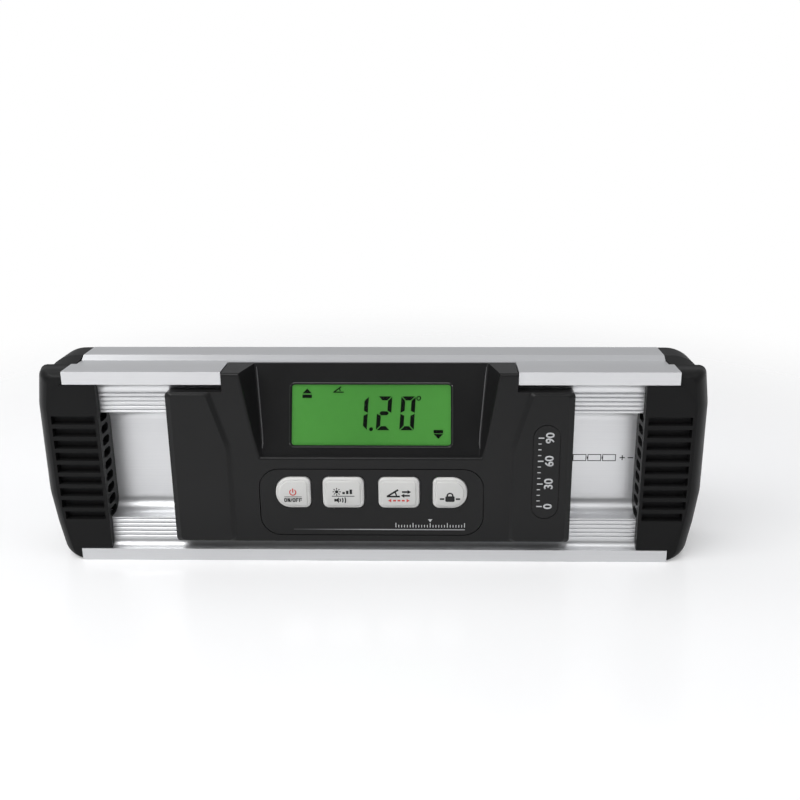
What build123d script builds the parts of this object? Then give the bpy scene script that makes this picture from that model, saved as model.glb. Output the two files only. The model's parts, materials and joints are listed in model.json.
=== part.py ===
# Digital inclinometer: a hollow fluted aluminium beam with moulded end caps,
# a tilted display module in its front channel and a row of cells inside.
# X runs along the beam, the display looks towards -Y, Z is up from the base.
import os
from math import atan2, cos, sin, sqrt, tan

from build123d import *

os.makedirs("parts", exist_ok=True)

# Cells and the tube that they slide into
cell_diameter = 10.5
cell_length = 44.5
cell_count = 3
cell_nub_diameter = 3.8
cell_nub_height = 1.0
cell_clearance = 0.25
tube_wall = 0.6
bay_clearance = 0.25

# Beam section, measured back from the flange faces and up from the base
beam_length = 208.0
beam_wall = 2.0
shelf_height = 70.3
shelf_depth = 14.0
rail_rise = 1.4
rail_slope = 2.6
base_thickness = 7.0
flange_face = 4.5
cove_radius = 3.0
web_setback = 11.3
web_height = 28.7
bowl_radius = 5.4
rib_thickness = 1.4
shelf_edge_radius = 0.9
flange_edge_radius = 1.2
base_edge_radius = 0.35
rear_edge_radius = 1.0
flute_pitch = 1.56
flute_width = 0.8
flute_depth = 0.45
groove_width = 13.0
groove_floor = 8.6
groove_depth = 2.4

# Magnets in the groove of the base
magnet_diameter = 8.0
magnet_thickness = 3.0
magnet_clearance = 0.1
magnet_spacing = 54.0
magnet_count = 4

# End caps
cap_reach = 13.2
cap_foot = 0.3
cap_top_drop = 0.15
cap_gap = 0.2
cap_toe_inset = 4.0
cap_toe_radius = 5.0
cap_ankle_inset = 1.6
cap_ankle_height = 13.0
cap_side_foot = 25.0
cap_side_drop = 13.0
cap_bend_radius = 20.0
cap_shoulder_inset = 1.6
cap_shoulder_radius = 3.0
cap_lobe_radius = 12.0
cap_bow_inset = 8.5
cap_bow_depth = 16.0
cap_brow_drop = 3.2
cap_brow_depth = 4.5
cap_back_bevel = 0.8
cap_rim_drop = 0.4
cap_lip = 1.9
cap_lip_setback = 9.6
cap_plug = 11.0
grip_rim = 7.6
grip_thickness = 3.5
grip_side_foot = 19.0
grip_toe_inset = 2.6
grip_toe_rise = 5.0
grip_shoulder = 7.0
grip_start = 1.2
grip_end_radius = 1.2
grip_toe_radius = 8.0
grip_side_radius = 10.0
grip_shoulder_radius = 6.0
slot_count = 9
slot_pitch = 4.44
slot_height = 3.0
slot_depth = 8.0
slot_inner_wall = 1.2
slot_end_wall = 0.4
notch_width = 6.2
notch_setback = 5.0

# Screws that hold the caps, driven along the beam into bosses on its back wall
cap_screw_rise = 18.5
cap_screw_radius = 1.4
cap_screw_length = 22.0
cap_screw_head_radius = 2.8
cap_screw_head = 1.8
cap_screw_seat = 4.0
cap_screw_socket = 1.3
cap_screw_socket_depth = 1.0
boss_radius = 3.0
boss_setback = 2.0
screw_clearance = 0.1
head_clearance = 0.3

# Battery cap in the right end cap
battery_cap_radius = 6.9
battery_cap_head = 2.4
battery_cap_plug = 5.7
battery_cap_clearance = 0.2
battery_cap_length = 9.0
battery_cap_edge = 0.3
battery_seal = 0.8
coin_slot_width = 2.0
coin_slot_depth = 1.2
coin_slot_length = 10.0
contact_radius = 4.0
contact_thickness = 0.5
contact_rise = 0.5
contact_tip_radius = 2.0
leaf_thickness = 0.4
leaf_width = 5.0
leaf_span = 7.0
leaf_room = 4.0

# Display module
panel_proud = 1.4
wing_proud = 1.2
module_half = 69.0
module_bottom = 8.5
module_top_drop = 6.6
plate_back = 2.6
wing_bevel = 2.0
wing_edge = 0.7
wing_lap = 1.9
wing_top_gap = 4.1
wing_knee_rise = 8.35
wing_knee_radius = 16.0
wing_inner_bevel = 1.4
wing_corner = 1.4
wing_face_radius = 0.45
wing_foot_radius = 1.0
crown_half = 49.7
crown_drop = 0.1
cutout_gap = 0.4
crown_lip = 0.35
cutout_rise = 17.85
shell_wall = 1.6
panel_wall = 2.8
rear_inset = 3.0
gasket_thickness = 0.6
gasket_width = 1.2

# Tilted floor behind the display window
floor_foot_setback = 0.2
floor_top_setback = 11.15
floor_foot_rise = 5.05
floor_foot_half = 37.2
floor_top_half = 40.6
crest_foot_run = 1.2
crest_top_run = 3.1
floor_wall = 2.2
crest_radius = 1.0
flank_radius = 0.8

# Display window and what lies behind it
window_width = 55.0
window_foot_margin = 3.6
window_top_margin = 7.53
window_corner = 1.0
window_bevel = 0.8
lens_depth = 0.9
lens_thickness = 1.2
lens_margin = 2.0
glass_inset = 0.5
glass_ledge = 2.0
stack_gap = 0.05
panel_thickness = 1.8
backlight_thickness = 2.2
stack_clearance = 0.2
frame_rim = 1.8
frame_back = 0.9
frame_opening_inset = 4.0

# Keypad
bezel_width = 77.4
bezel_foot_margin = 2.6
bezel_top_margin = 4.5
bezel_corner = 7.0
bezel_thickness = 1.3
bezel_gap = 0.3
key_height = 11.3
key_drop = 7.85
key_proud = 1.0
key_edge_radius = 0.9
key_gap = 0.25
key_round = 5.2
key_corner = 2.2
key_travel = 0.7
key_skirt = 0.9
key_skirt_thickness = 1.0
key_rest_gap = 0.1
stem_radius = 1.5
stem_length = 1.1
key_power_left = -33.1
key_power_right = -21.0
key_light_left = -16.8
key_light_right = -2.5
key_mode_left = 2.5
key_mode_right = 16.7
key_hold_left = 21.3
key_hold_right = 33.2
# left edge, right edge, left corner radius, right corner radius
keys = {
    "key_power": (key_power_left, key_power_right, key_round, key_corner),
    "key_light": (key_light_left, key_light_right, key_corner, key_corner),
    "key_mode": (key_mode_left, key_mode_right, key_corner, key_corner),
    "key_hold": (key_hold_left, key_hold_right, key_corner, key_round),
}

# Circuit board and its parts
board_setback = 8.0
board_thickness = 1.6
board_end_gap = 2.3
board_height = 25.2
board_corner = 1.5
board_notch_half = 33.5
board_notch_drop = 2.2
switch_size = 6.0
switch_height = 3.4
plunger_radius = 1.7
plunger_length = 2.4
plunger_clearance = 0.15
sensor_size = 9.0
sensor_height = 2.4
sensor_inset = 23.0
sensor_rise = 2.35
sensor_edge = 0.4
buzzer_radius = 6.0
buzzer_height = 4.6
buzzer_vent = 0.8
chip_size = 9.0
chip_height = 1.4
chip_rise = 6.35
chip_pin_count = 8
chip_pin_pitch = 0.95
chip_pin_width = 0.4
chip_pin_thickness = 0.3
chip_pin_reach = 0.9

# Screws that draw the module onto the web, reached through the back wall
module_screw_inset = 10.0
module_screw_rise = 10.7
module_screw_radius = 1.15
module_screw_head_radius = 2.3
module_screw_head = 1.7
module_screw_bite = 4.5
module_screw_slot = 0.7
module_screw_slot_depth = 0.7
module_boss_radius = 2.6
access_radius = 2.9

# Pill-shaped inlay on the right wing
inlay_width = 9.4
inlay_length = 34.6
inlay_shift = 1.5
inlay_rise = 0.15
inlay_depth = 0.4
inlay_gap = 0.25

# Places worked out from the sizes above
tube_inner_radius = cell_diameter / 2 + cell_clearance
tube_outer_radius = tube_inner_radius + tube_wall
beam_depth = web_setback + 2 * beam_wall + 2 * (tube_outer_radius + bay_clearance)
module_proud = panel_proud + wing_proud
front_y = (module_proud - beam_depth) / 2
back_y = front_y + beam_depth
beam_end = beam_length / 2
mid_z = shelf_height / 2
half_shelf = shelf_height / 2
half_web = web_height / 2
bowl_edge = half_web + bowl_radius
flange_edge = half_shelf - flange_face
cove_start = flange_edge - cove_radius
rail_top = half_shelf + rail_rise
bay_half = tube_outer_radius + bay_clearance
cap_end = beam_end + cap_reach
module_top = shelf_height - module_top_drop
crown_back = floor_top_setback + crown_lip
cutout_depth = crown_back + cutout_gap
cutout_floor = mid_z + cutout_rise
floor_foot_height = mid_z + floor_foot_rise
crown_top = shelf_height - crown_drop
wing_start = crown_half - wing_lap
wing_top_start = crown_half + wing_top_gap
rear_half = module_half - rear_inset
cavity_half = rear_half - 2 * shell_wall
board_half = cavity_half - board_end_gap
module_screw_x = rear_half - module_screw_inset
sensor_x = module_half - sensor_inset
inlay_x = (wing_start + module_half) / 2 + inlay_shift
key_rise = mid_z - key_drop


def depth(distance):
    # Y of a point that lies this far behind the flange faces
    return front_y + distance


def facing(distance):
    # plane that looks out of the front, with world X and Z as its own axes
    return Plane.XZ.offset(-depth(distance))


def across(x):
    # plane across the beam with its origin at mid height
    return Plane(origin=(x, 0, mid_z), x_dir=(0, 1, 0), z_dir=(1, 0, 0))


cell_y = depth(web_setback + beam_wall) + bay_half
inner_back_y = back_y - beam_wall
boss_y = inner_back_y - boss_setback


def bowl_half(gap, start_y):
    # upper half of the channel's deep part, drawn in from the beam by a gap
    centre_y = depth(web_setback - bowl_radius)
    edge = bowl_edge - gap
    Polyline((start_y, 0), (start_y, edge), (centre_y, edge))
    TangentArc((centre_y, edge), (depth(web_setback - gap), half_web), tangent=(1, 0))
    Line((depth(web_setback - gap), half_web), (depth(web_setback - gap), 0))


def bowl_section(gap, start_y):
    with BuildLine() as bowl:
        bowl_half(gap, start_y)
        mirror(about=Plane.XZ)
    make_face(bowl.edges())


def cove_section(gap):
    # shallow part of the channel between the flanges, in front of the flutes
    reach = cove_radius - gap
    with BuildLine() as cove:
        Line((front_y, 0), (front_y, cove_start + reach))
        TangentArc((front_y, cove_start + reach), (front_y + reach, cove_start), tangent=(1, 0))
        Line((front_y + reach, cove_start), (front_y + reach, 0))
        mirror(about=Plane.XZ)
    make_face(cove.edges())


def lobe(side, roof):
    # hollow of the beam above (1) or below (-1) the battery bay
    inner_web_y = depth(web_setback + beam_wall)
    rib_face = side * (bay_half + rib_thickness)
    arc_end = (depth(web_setback - bowl_radius), side * (bowl_edge + beam_wall))
    lobe_front_y = depth(cove_radius + flute_depth + beam_wall)
    with BuildLine() as hollow:
        Polyline((inner_back_y, rib_face), (inner_web_y, rib_face), (inner_web_y, side * half_web))
        TangentArc((inner_web_y, side * half_web), arc_end, tangent=(0, side))
        Polyline(
            arc_end,
            (lobe_front_y, side * (bowl_edge + beam_wall)),
            *[(lobe_front_y if y is None else y, z) for y, z in roof],
            (inner_back_y, rib_face),
        )
    make_face(hollow.edges())


# Beam: one extrusion, milled for the display and shortened behind the caps' lips
with BuildPart() as beam:
    with BuildSketch(across(-beam_end)) as beam_section:
        flute_y = depth(cove_radius)
        flute_run = cove_start - bowl_edge
        flute_count = int(flute_run / flute_pitch)
        first_flute = bowl_edge + (flute_run - (flute_count - 1) * flute_pitch) / 2
        flute_points = [(flute_y, bowl_edge)]
        for index in range(flute_count):
            flute_z = first_flute + index * flute_pitch
            flute_points += [
                (flute_y, flute_z - flute_width / 2),
                (flute_y + flute_depth, flute_z),
                (flute_y, flute_z + flute_width / 2),
            ]
        flute_points += [(flute_y, cove_start)]
        groove_y = (front_y + back_y) / 2
        with BuildLine():
            bowl_centre_y = depth(web_setback - bowl_radius)
            Line((depth(web_setback), 0), (depth(web_setback), half_web))
            TangentArc((depth(web_setback), half_web), (bowl_centre_y, bowl_edge), tangent=(0, 1))
            Line((bowl_centre_y, bowl_edge), flute_points[0])
            Polyline(*flute_points)
            TangentArc((flute_y, cove_start), (front_y, flange_edge), tangent=(0, 1))
            Line((front_y, flange_edge), (front_y, half_shelf))
            mirror(about=Plane.XZ)
            Polyline(
                (front_y, half_shelf),
                (depth(shelf_depth), half_shelf),
                (depth(shelf_depth + rail_slope), rail_top),
                (back_y, rail_top),
                (back_y, -half_shelf),
                (groove_y + groove_width / 2, -half_shelf),
                (groove_y + groove_floor / 2, groove_depth - half_shelf),
                (groove_y - groove_floor / 2, groove_depth - half_shelf),
                (groove_y - groove_width / 2, -half_shelf),
                (front_y, -half_shelf),
            )
        make_face()
        front_corners = beam_section.vertices().group_by(Axis.X)[0].sort_by(Axis.Y)
        fillet(front_corners[0], radius=base_edge_radius)
        fillet(front_corners[1:3], radius=flange_edge_radius)
        fillet(front_corners[3], radius=shelf_edge_radius)
        fillet(beam_section.vertices().group_by(Axis.X)[-1], radius=rear_edge_radius)
    extrude(amount=beam_length)

    # hollows above, below and around the cells
    with BuildSketch(across(-beam_end)):
        roof_y = depth(shelf_depth) + beam_wall
        lobe(1, [
            (None, half_shelf - beam_wall),
            (roof_y, half_shelf - beam_wall),
            (roof_y + rail_slope, rail_top - beam_wall),
            (inner_back_y, rail_top - beam_wall),
        ])
        lobe(-1, [(None, base_thickness - half_shelf), (inner_back_y, base_thickness - half_shelf)])
        with Locations((cell_y, 0)):
            Rectangle(2 * bay_half, 2 * bay_half)
    extrude(amount=beam_length, mode=Mode.SUBTRACT)

    # bosses for the cap screws
    boss_places = [(boss_y, cap_screw_rise), (boss_y, -cap_screw_rise)]
    with BuildSketch(across(-beam_end)):
        with Locations(*boss_places):
            Circle(boss_radius)
    extrude(amount=beam_length)
    with BuildSketch(across(-beam_end)):
        with Locations(*boss_places):
            Circle(cap_screw_radius + screw_clearance)
    extrude(amount=beam_length, mode=Mode.SUBTRACT)

    # rear part stops short of the shelf at both ends
    for end in (-1, 1):
        with BuildSketch(across(end * beam_end)):
            with Locations((depth((cap_lip_setback + beam_depth) / 2), 0)):
                Rectangle(beam_depth - cap_lip_setback, 2 * shelf_height)
        extrude(amount=-end * cap_lip, mode=Mode.SUBTRACT)

    # cut-out in the front shelf, and the window in the web behind the display
    cutout_half = crown_half + cutout_gap
    with BuildSketch(facing(0)):
        with Locations((0, cutout_floor)):
            Rectangle(2 * cutout_half, shelf_height, align=(Align.CENTER, Align.MIN))
    extrude(amount=-cutout_depth, mode=Mode.SUBTRACT)
    with BuildSketch(facing(web_setback + beam_wall)):
        with Locations((0, mid_z + half_web - gasket_width)):
            Rectangle(2 * board_notch_half, bowl_radius + 2 * beam_wall, align=(Align.CENTER, Align.MIN))
    extrude(amount=web_setback, mode=Mode.SUBTRACT)

    # screw holes in the web, and the access holes in line with them in the back wall
    module_screw_places = [
        (side * module_screw_x, mid_z + level * module_screw_rise)
        for side in (-1, 1)
        for level in (-1, 1)
    ]
    with BuildSketch(facing(web_setback)):
        with Locations(*module_screw_places):
            Circle(module_screw_radius + 3 * screw_clearance)
    extrude(amount=-2 * beam_wall, mode=Mode.SUBTRACT)
    with BuildSketch(facing(beam_depth)):
        with Locations(*module_screw_places):
            Circle(access_radius)
    extrude(amount=2 * beam_wall, mode=Mode.SUBTRACT)

    # magnet pockets in the groove
    with BuildSketch(Plane.XY.offset(groove_depth)):
        with GridLocations(magnet_spacing, 1, magnet_count, 1):
            with Locations((0, groove_y)):
                Circle(magnet_diameter / 2 + magnet_clearance)
    extrude(amount=magnet_thickness, mode=Mode.SUBTRACT)
beam.part.label = "beam"
export_step(beam.part, "parts/beam.step")


def bowed(distance, reach, span):
    # how far a rounded edge is drawn in, at this distance from where its curve starts
    share = max(0.0, 1.0 - distance / span)
    return reach * (1.0 - sqrt(1.0 - share**2))


def cap_outline(setback, top, corner, trim):
    # front view of the right cap at one depth, from inside the beam out to its bowed side
    inner = beam_end - cap_plug
    outer = cap_end - bowed(setback, cap_bow_inset, cap_bow_depth) - trim
    foot = cap_foot + trim
    with BuildLine() as outline:
        FilletPolyline(
            (inner, foot),
            (outer - cap_toe_inset, foot),
            (outer - cap_ankle_inset, cap_ankle_height),
            (outer, cap_side_foot),
            (outer, shelf_height - cap_side_drop),
            (outer - cap_shoulder_inset, top - trim),
            (inner, top - trim),
            radius=[cap_toe_radius, cap_bend_radius, cap_bend_radius, cap_bend_radius, corner],
        )
        Line((inner, top - trim), (inner, foot))
    make_face(outline.edges())


grip_edge = cap_end - grip_rim
grip_foot = mid_z - flange_edge + cap_gap
grip_top = mid_z + flange_edge - cap_gap
grip_toe = (grip_edge - grip_toe_inset, grip_foot + grip_toe_rise)
plug_end = beam_end - cap_plug


def grip_edge_at(z):
    # X of the grip panel's outer edge, which runs in towards the toe
    share = min(1.0, (z - grip_toe[1]) / (grip_side_foot - grip_toe[1]))
    return grip_toe[0] + share * (grip_edge - grip_toe[0])


def cap_body():
    # right cap, before the port for the cells
    lip_end = beam_end - cap_lip + cap_gap
    lip_setback = cap_lip_setback + cap_gap
    shelf_top = shelf_height - cap_top_drop
    lobe_top = shelf_top + rail_rise
    rise_end = shelf_depth + rail_slope
    back_start = beam_depth - cap_back_bevel

    # front part, whose brow and side curve back from the grip panel
    brow_steps = [cap_rim_drop, cap_brow_depth / 3, 2 * cap_brow_depth / 3, cap_brow_depth, lip_setback]
    sections = []
    for step in brow_steps:
        with BuildSketch(facing(step)) as section:
            brow_top = shelf_top - bowed(step, cap_brow_drop, cap_brow_depth)
            cap_outline(step, brow_top, cap_shoulder_radius, 0)
        sections.append(section.sketch)
    loft(sections)

    # lobe behind it, which rises to the rail and is bevelled at the back
    lobe_steps = [
        (lip_setback, shelf_top, 0),
        (rise_end, lobe_top, 0),
        (back_start, lobe_top, 0),
        (beam_depth, lobe_top, cap_back_bevel),
    ]
    sections = []
    for step, rise, trim in lobe_steps:
        with BuildSketch(facing(step)) as section:
            cap_outline(step, rise, cap_lobe_radius, trim)
        sections.append(section.sketch)
    loft(sections, ruled=True)

    # room for the beam, whose shelf runs further out than the rest of it
    with BuildSketch(Plane.XY) as beam_room:
        with Locations((beam_end + cap_gap, depth(lip_setback))):
            Rectangle(2 * cap_plug, beam_depth, align=(Align.MAX, Align.MAX))
        with Locations((lip_end, depth(lip_setback))):
            Rectangle(2 * cap_plug, beam_depth, align=(Align.MAX, Align.MIN))
    extrude(beam_room.sketch, amount=2 * shelf_height, mode=Mode.SUBTRACT)

    # plug that fills the front channel, and the grip panel that carries on past the beam
    plug_reach = cap_plug + 2 * cap_gap
    with BuildSketch(across(plug_end)) as deep_plug:
        bowl_section(cap_gap, front_y)
    extrude(deep_plug.sketch, amount=plug_reach)
    with BuildSketch(across(plug_end)) as shallow_plug:
        cove_section(cap_gap)
    extrude(shallow_plug.sketch, amount=plug_reach)
    with BuildSketch(facing(0)) as grip:
        with BuildLine() as grip_line:
            FilletPolyline(
                (beam_end, grip_foot),
                (beam_end + grip_start, grip_foot),
                grip_toe,
                (grip_edge, grip_side_foot),
                (grip_edge, grip_top - grip_shoulder),
                (beam_end + grip_start, grip_top),
                (beam_end, grip_top),
                radius=[
                    grip_end_radius,
                    grip_toe_radius,
                    grip_side_radius,
                    grip_shoulder_radius,
                    grip_end_radius,
                ],
            )
            Line((beam_end, grip_top), (beam_end, grip_foot))
        make_face(grip_line.edges())
    extrude(grip.sketch, amount=-grip_thickness)

    # grip slots, each with a notch through the plug's inner wall
    for index in range(slot_count):
        slot_z = mid_z + (index - (slot_count - 1) / 2) * slot_pitch
        slot_start = plug_end + slot_inner_wall
        slot_end = grip_edge_at(slot_z - slot_height / 2) - slot_end_wall
        with BuildSketch(facing(0)) as slot:
            with Locations(((slot_start + slot_end) / 2, slot_z)):
                Rectangle(slot_end - slot_start, slot_height)
        extrude(slot.sketch, amount=-slot_depth, mode=Mode.SUBTRACT)
        with BuildSketch(across(plug_end)) as notch:
            with Locations((depth(notch_setback), slot_z - mid_z)):
                SlotOverall(notch_width, slot_height)
        extrude(notch.sketch, amount=2 * slot_inner_wall, mode=Mode.SUBTRACT)

    # screw holes
    with BuildSketch(across(cap_end)) as shank_holes:
        with Locations(*boss_places):
            Circle(cap_screw_radius + 2 * screw_clearance)
    extrude(shank_holes.sketch, amount=-2 * cap_reach, mode=Mode.SUBTRACT)
    with BuildSketch(across(cap_end)) as head_holes:
        with Locations(*boss_places):
            Circle(cap_screw_head_radius + head_clearance)
    extrude(head_holes.sketch, amount=-cap_screw_seat, mode=Mode.SUBTRACT)


with BuildPart() as end_cap_left:
    cap_body()
    mirror(about=Plane.YZ, mode=Mode.REPLACE)
end_cap_left.part.label = "end_cap_left"
export_step(end_cap_left.part, "parts/end_cap_left.step")

# Right cap, with the port that the cells go in through
port_depth = battery_cap_head + battery_seal
with BuildPart() as end_cap_right:
    cap_body()
    with BuildSketch(across(cap_end)):
        with Locations((cell_y, 0)):
            Circle(battery_cap_plug + battery_cap_clearance)
    extrude(amount=-2 * cap_reach, mode=Mode.SUBTRACT)
    with BuildSketch(across(cap_end)):
        with Locations((cell_y, 0)):
            Circle(battery_cap_radius + battery_cap_clearance)
    extrude(amount=-port_depth, mode=Mode.SUBTRACT)
end_cap_right.part.label = "end_cap_right"
export_step(end_cap_right.part, "parts/end_cap_right.step")

# Cap screws, two at each end
with BuildPart() as end_cap_screws:
    for end in (-1, 1):
        seat = across(end * (cap_end - cap_screw_seat))
        with BuildSketch(seat):
            with Locations(*boss_places):
                Circle(cap_screw_radius)
        extrude(amount=-end * cap_screw_length)
        with BuildSketch(seat):
            with Locations(*boss_places):
                Circle(cap_screw_head_radius)
        extrude(amount=end * cap_screw_head)
        with BuildSketch(seat.offset(end * cap_screw_head)):
            with Locations(*boss_places):
                RegularPolygon(cap_screw_socket, 6)
        extrude(amount=-end * cap_screw_socket_depth, mode=Mode.SUBTRACT)
end_cap_screws.part.label = "end_cap_screws"
export_step(end_cap_screws.part, "parts/end_cap_screws.step")

# Magnets in the base
with BuildPart() as base_magnets:
    with BuildSketch(Plane.XY.offset(groove_depth)):
        with GridLocations(magnet_spacing, 1, magnet_count, 1):
            with Locations((0, groove_y)):
                Circle(magnet_diameter / 2)
    extrude(amount=magnet_thickness)
base_magnets.part.label = "base_magnets"
export_step(base_magnets.part, "parts/base_magnets.step")

# Places of the tilted floor and of the pieces behind it
floor_rise = shelf_height - floor_foot_height
tilt = atan2(floor_top_setback - floor_foot_setback, floor_rise)
floor_length = floor_rise / cos(tilt)
window_height = floor_length - window_foot_margin - window_top_margin
window_rise = floor_foot_height + (window_foot_margin + window_height / 2) * cos(tilt)
panel_front_y = depth(-panel_proud)
panel_back = panel_wall - panel_proud
overcut = 2.0
near = 0.2


def floor_setback(z):
    # how far the tilted floor lies behind the flange faces at this height
    return floor_foot_setback + (z - floor_foot_height) * tan(tilt)


floor_plane = Plane(
    origin=(0, depth(floor_setback(window_rise)), window_rise),
    x_dir=(1, 0, 0),
    z_dir=(0, -cos(tilt), sin(tilt)),
)


def behind_floor(distance):
    # plane parallel to the tilted floor, this far behind it
    return floor_plane.offset(-distance)


def wing_face(outer_inset, edge_inset, inner_inset):
    # front view of the right wing, with its kinked inner edge
    foot = module_bottom + edge_inset
    top = module_top - edge_inset
    inner = wing_start + inner_inset
    inner_top = wing_top_start + inner_inset
    outer = module_half - outer_inset
    with BuildLine() as outline:
        FilletPolyline(
            (inner, foot),
            (inner, mid_z + wing_knee_rise),
            (inner_top, top),
            (outer, top),
            (outer, foot),
            radius=[wing_corner, wing_knee_radius, wing_corner, wing_corner, wing_corner],
            close=True,
        )
    make_face(outline.edges())


def recess_section(z):
    # level cut through the space in front of the tilted floor
    share = (z - floor_foot_height) / (shelf_height - floor_foot_height)
    floor_half = floor_foot_half + share * (floor_top_half - floor_foot_half)
    crest = floor_half + crest_foot_run + share * (crest_top_run - crest_foot_run)
    floor_y = depth(floor_setback(z))
    spread = (crest - floor_half) / (floor_y - panel_front_y)
    mouth = crest + spread * overcut
    mouth_y = panel_front_y - overcut
    with BuildLine() as outline:
        Polyline(
            (-mouth, mouth_y),
            (mouth, mouth_y),
            (floor_half, floor_y),
            (-floor_half, floor_y),
            close=True,
        )
    make_face(outline.edges())


def key_face(outline, left, right, left_radius, right_radius, grow):
    # front view of a key, grown or drawn in all round
    with Locations(((left + right) / 2, key_rise)):
        Rectangle(right - left + 2 * grow, key_height + 2 * grow)
    fillet(outline.vertices().group_by(Axis.X)[0], radius=left_radius + grow)
    fillet(outline.vertices().group_by(Axis.X)[-1], radius=right_radius + grow)


def inlay_face(gap):
    with Locations((inlay_x, mid_z + inlay_rise)):
        SlotOverall(inlay_length - 2 * gap, inlay_width - 2 * gap, rotation=90)


def bezel_face(gap):
    bezel_bottom = module_bottom + bezel_foot_margin
    bezel_top = floor_foot_height - bezel_top_margin
    with Locations((0, (bezel_bottom + bezel_top) / 2)):
        RectangleRounded(bezel_width + 2 * gap, bezel_top - bezel_bottom + 2 * gap, bezel_corner + gap)


lens_width = window_width + 2 * lens_margin
lens_height = window_height + 2 * lens_margin
glass_width = lens_width - 2 * glass_inset
glass_height = lens_height - 2 * glass_inset
board_opening_half = half_web - gasket_width
display_bay_half = board_notch_half + stack_clearance

# Display housing: panel, crown and wings in front, a box behind them that fills the channel
with BuildPart() as display_housing:
    with BuildSketch(facing(-panel_proud)):
        with Locations((0, (module_bottom + module_top) / 2)):
            RectangleRounded(2 * module_half, module_top - module_bottom, wing_corner)
    extrude(amount=-panel_proud - plate_back)
    with BuildSketch(facing(-panel_proud)):
        with Locations((0, cutout_floor + cutout_gap)):
            Rectangle(2 * crown_half, crown_top - cutout_floor - cutout_gap, align=(Align.CENTER, Align.MIN))
    extrude(amount=-panel_proud - crown_back)
    with BuildSketch(across(-rear_half)):
        bowl_section(gasket_thickness, front_y)
    extrude(amount=2 * rear_half)
    with BuildSketch(facing(-panel_proud)):
        wing_face(0, 0, 0)
    with BuildSketch(facing(-module_proud)):
        wing_face(wing_bevel, wing_edge, wing_inner_bevel)
    loft(ruled=True)

    # soft edges round the wing's face, and where its inner side runs out into the panel
    wing_y = depth(-module_proud)
    wing_edges = display_housing.edges().filter_by_position(Axis.Y, wing_y - near, wing_y + near)
    fillet(wing_edges, radius=wing_face_radius)
    edges = display_housing.edges()
    panel_edges = edges.filter_by_position(Axis.Y, panel_front_y - near, panel_front_y + near)
    wing_foot = panel_edges.filter_by_position(Axis.X, wing_start - near, wing_top_start + near)
    wing_foot = wing_foot.filter_by_position(Axis.Z, module_bottom + near, module_top - near)
    fillet(wing_foot, radius=wing_foot_radius)
    mirror(about=Plane.YZ)

    # space in front of the tilted floor
    with BuildSketch(Plane.XY.offset(floor_foot_height)):
        recess_section(floor_foot_height)
    with BuildSketch(Plane.XY.offset(shelf_height + overcut)):
        recess_section(shelf_height + overcut)
    loft(ruled=True, mode=Mode.SUBTRACT)

    # rounded corners beside the floor, then the lip, the crests and the crown's front edges
    middle_z = (floor_foot_height + crown_top) / 2
    edges = display_housing.edges()
    at_middle = edges.filter_by_position(Axis.Z, middle_z - near, middle_z + near)
    floor_y = depth(floor_setback(middle_z))
    fillet(at_middle.filter_by_position(Axis.Y, floor_y - near, floor_y + near), radius=flank_radius)
    edges = display_housing.edges()
    panel_edges = edges.filter_by_position(Axis.Y, panel_front_y - near, panel_front_y + near)
    crests = panel_edges.filter_by_position(Axis.Z, middle_z - near, middle_z + near)
    lip = panel_edges.filter_by_position(Axis.Z, floor_foot_height - near, floor_foot_height + near)
    crown_front = panel_edges.filter_by_position(Axis.Z, crown_top - near, crown_top + near)
    fillet(crests + lip + crown_front, radius=crest_radius)

    # room for the board and the display, behind the panel and the floor
    back_start = floor_setback(floor_foot_height) + floor_wall / cos(tilt)
    back_end = floor_setback(shelf_height) + floor_wall / cos(tilt)
    with BuildSketch(across(-cavity_half)):
        bowl_section(gasket_thickness + shell_wall, depth(panel_back))
        with BuildLine() as behind_line:
            Polyline(
                (depth(panel_back), -half_shelf),
                (depth(panel_back), floor_foot_height - floor_wall - mid_z),
                (depth(back_start), floor_foot_height - mid_z),
                (depth(back_end), half_shelf),
                (back_y, half_shelf),
                (back_y, -half_shelf),
                close=True,
            )
        make_face(behind_line.edges(), mode=Mode.INTERSECT)
    extrude(amount=2 * cavity_half, mode=Mode.SUBTRACT)
    with BuildSketch(across(-cavity_half)):
        with Locations((depth(board_setback), 0)):
            Rectangle(web_setback, 2 * board_opening_half, align=(Align.MIN, Align.CENTER))
    extrude(amount=2 * cavity_half, mode=Mode.SUBTRACT)
    bay_top = crown_top - shell_wall
    with BuildSketch(across(-display_bay_half)):
        with BuildLine():
            Polyline(
                (depth(back_start), floor_foot_height - mid_z),
                (depth(floor_setback(bay_top) + floor_wall / cos(tilt)), bay_top - mid_z),
                (depth(2 * cutout_depth), bay_top - mid_z),
                (depth(2 * cutout_depth), floor_foot_height - mid_z),
                close=True,
            )
        make_face()
    extrude(amount=2 * display_bay_half, mode=Mode.SUBTRACT)

    # window with a bevelled edge, and the seat of its lens
    with BuildSketch(floor_plane):
        bevel_width = window_width + 2 * window_bevel
        bevel_height = window_height + 2 * window_bevel
        RectangleRounded(bevel_width, bevel_height, window_corner + window_bevel)
    with BuildSketch(behind_floor(window_bevel)):
        RectangleRounded(window_width, window_height, window_corner)
    loft(ruled=True, mode=Mode.SUBTRACT)
    with BuildSketch(floor_plane):
        RectangleRounded(window_width, window_height, window_corner)
    extrude(amount=-2 * floor_wall, mode=Mode.SUBTRACT)
    with BuildSketch(behind_floor(lens_depth)):
        Rectangle(lens_width + 2 * stack_clearance, lens_height + 2 * stack_clearance)
    extrude(amount=-floor_wall, mode=Mode.SUBTRACT)

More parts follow.
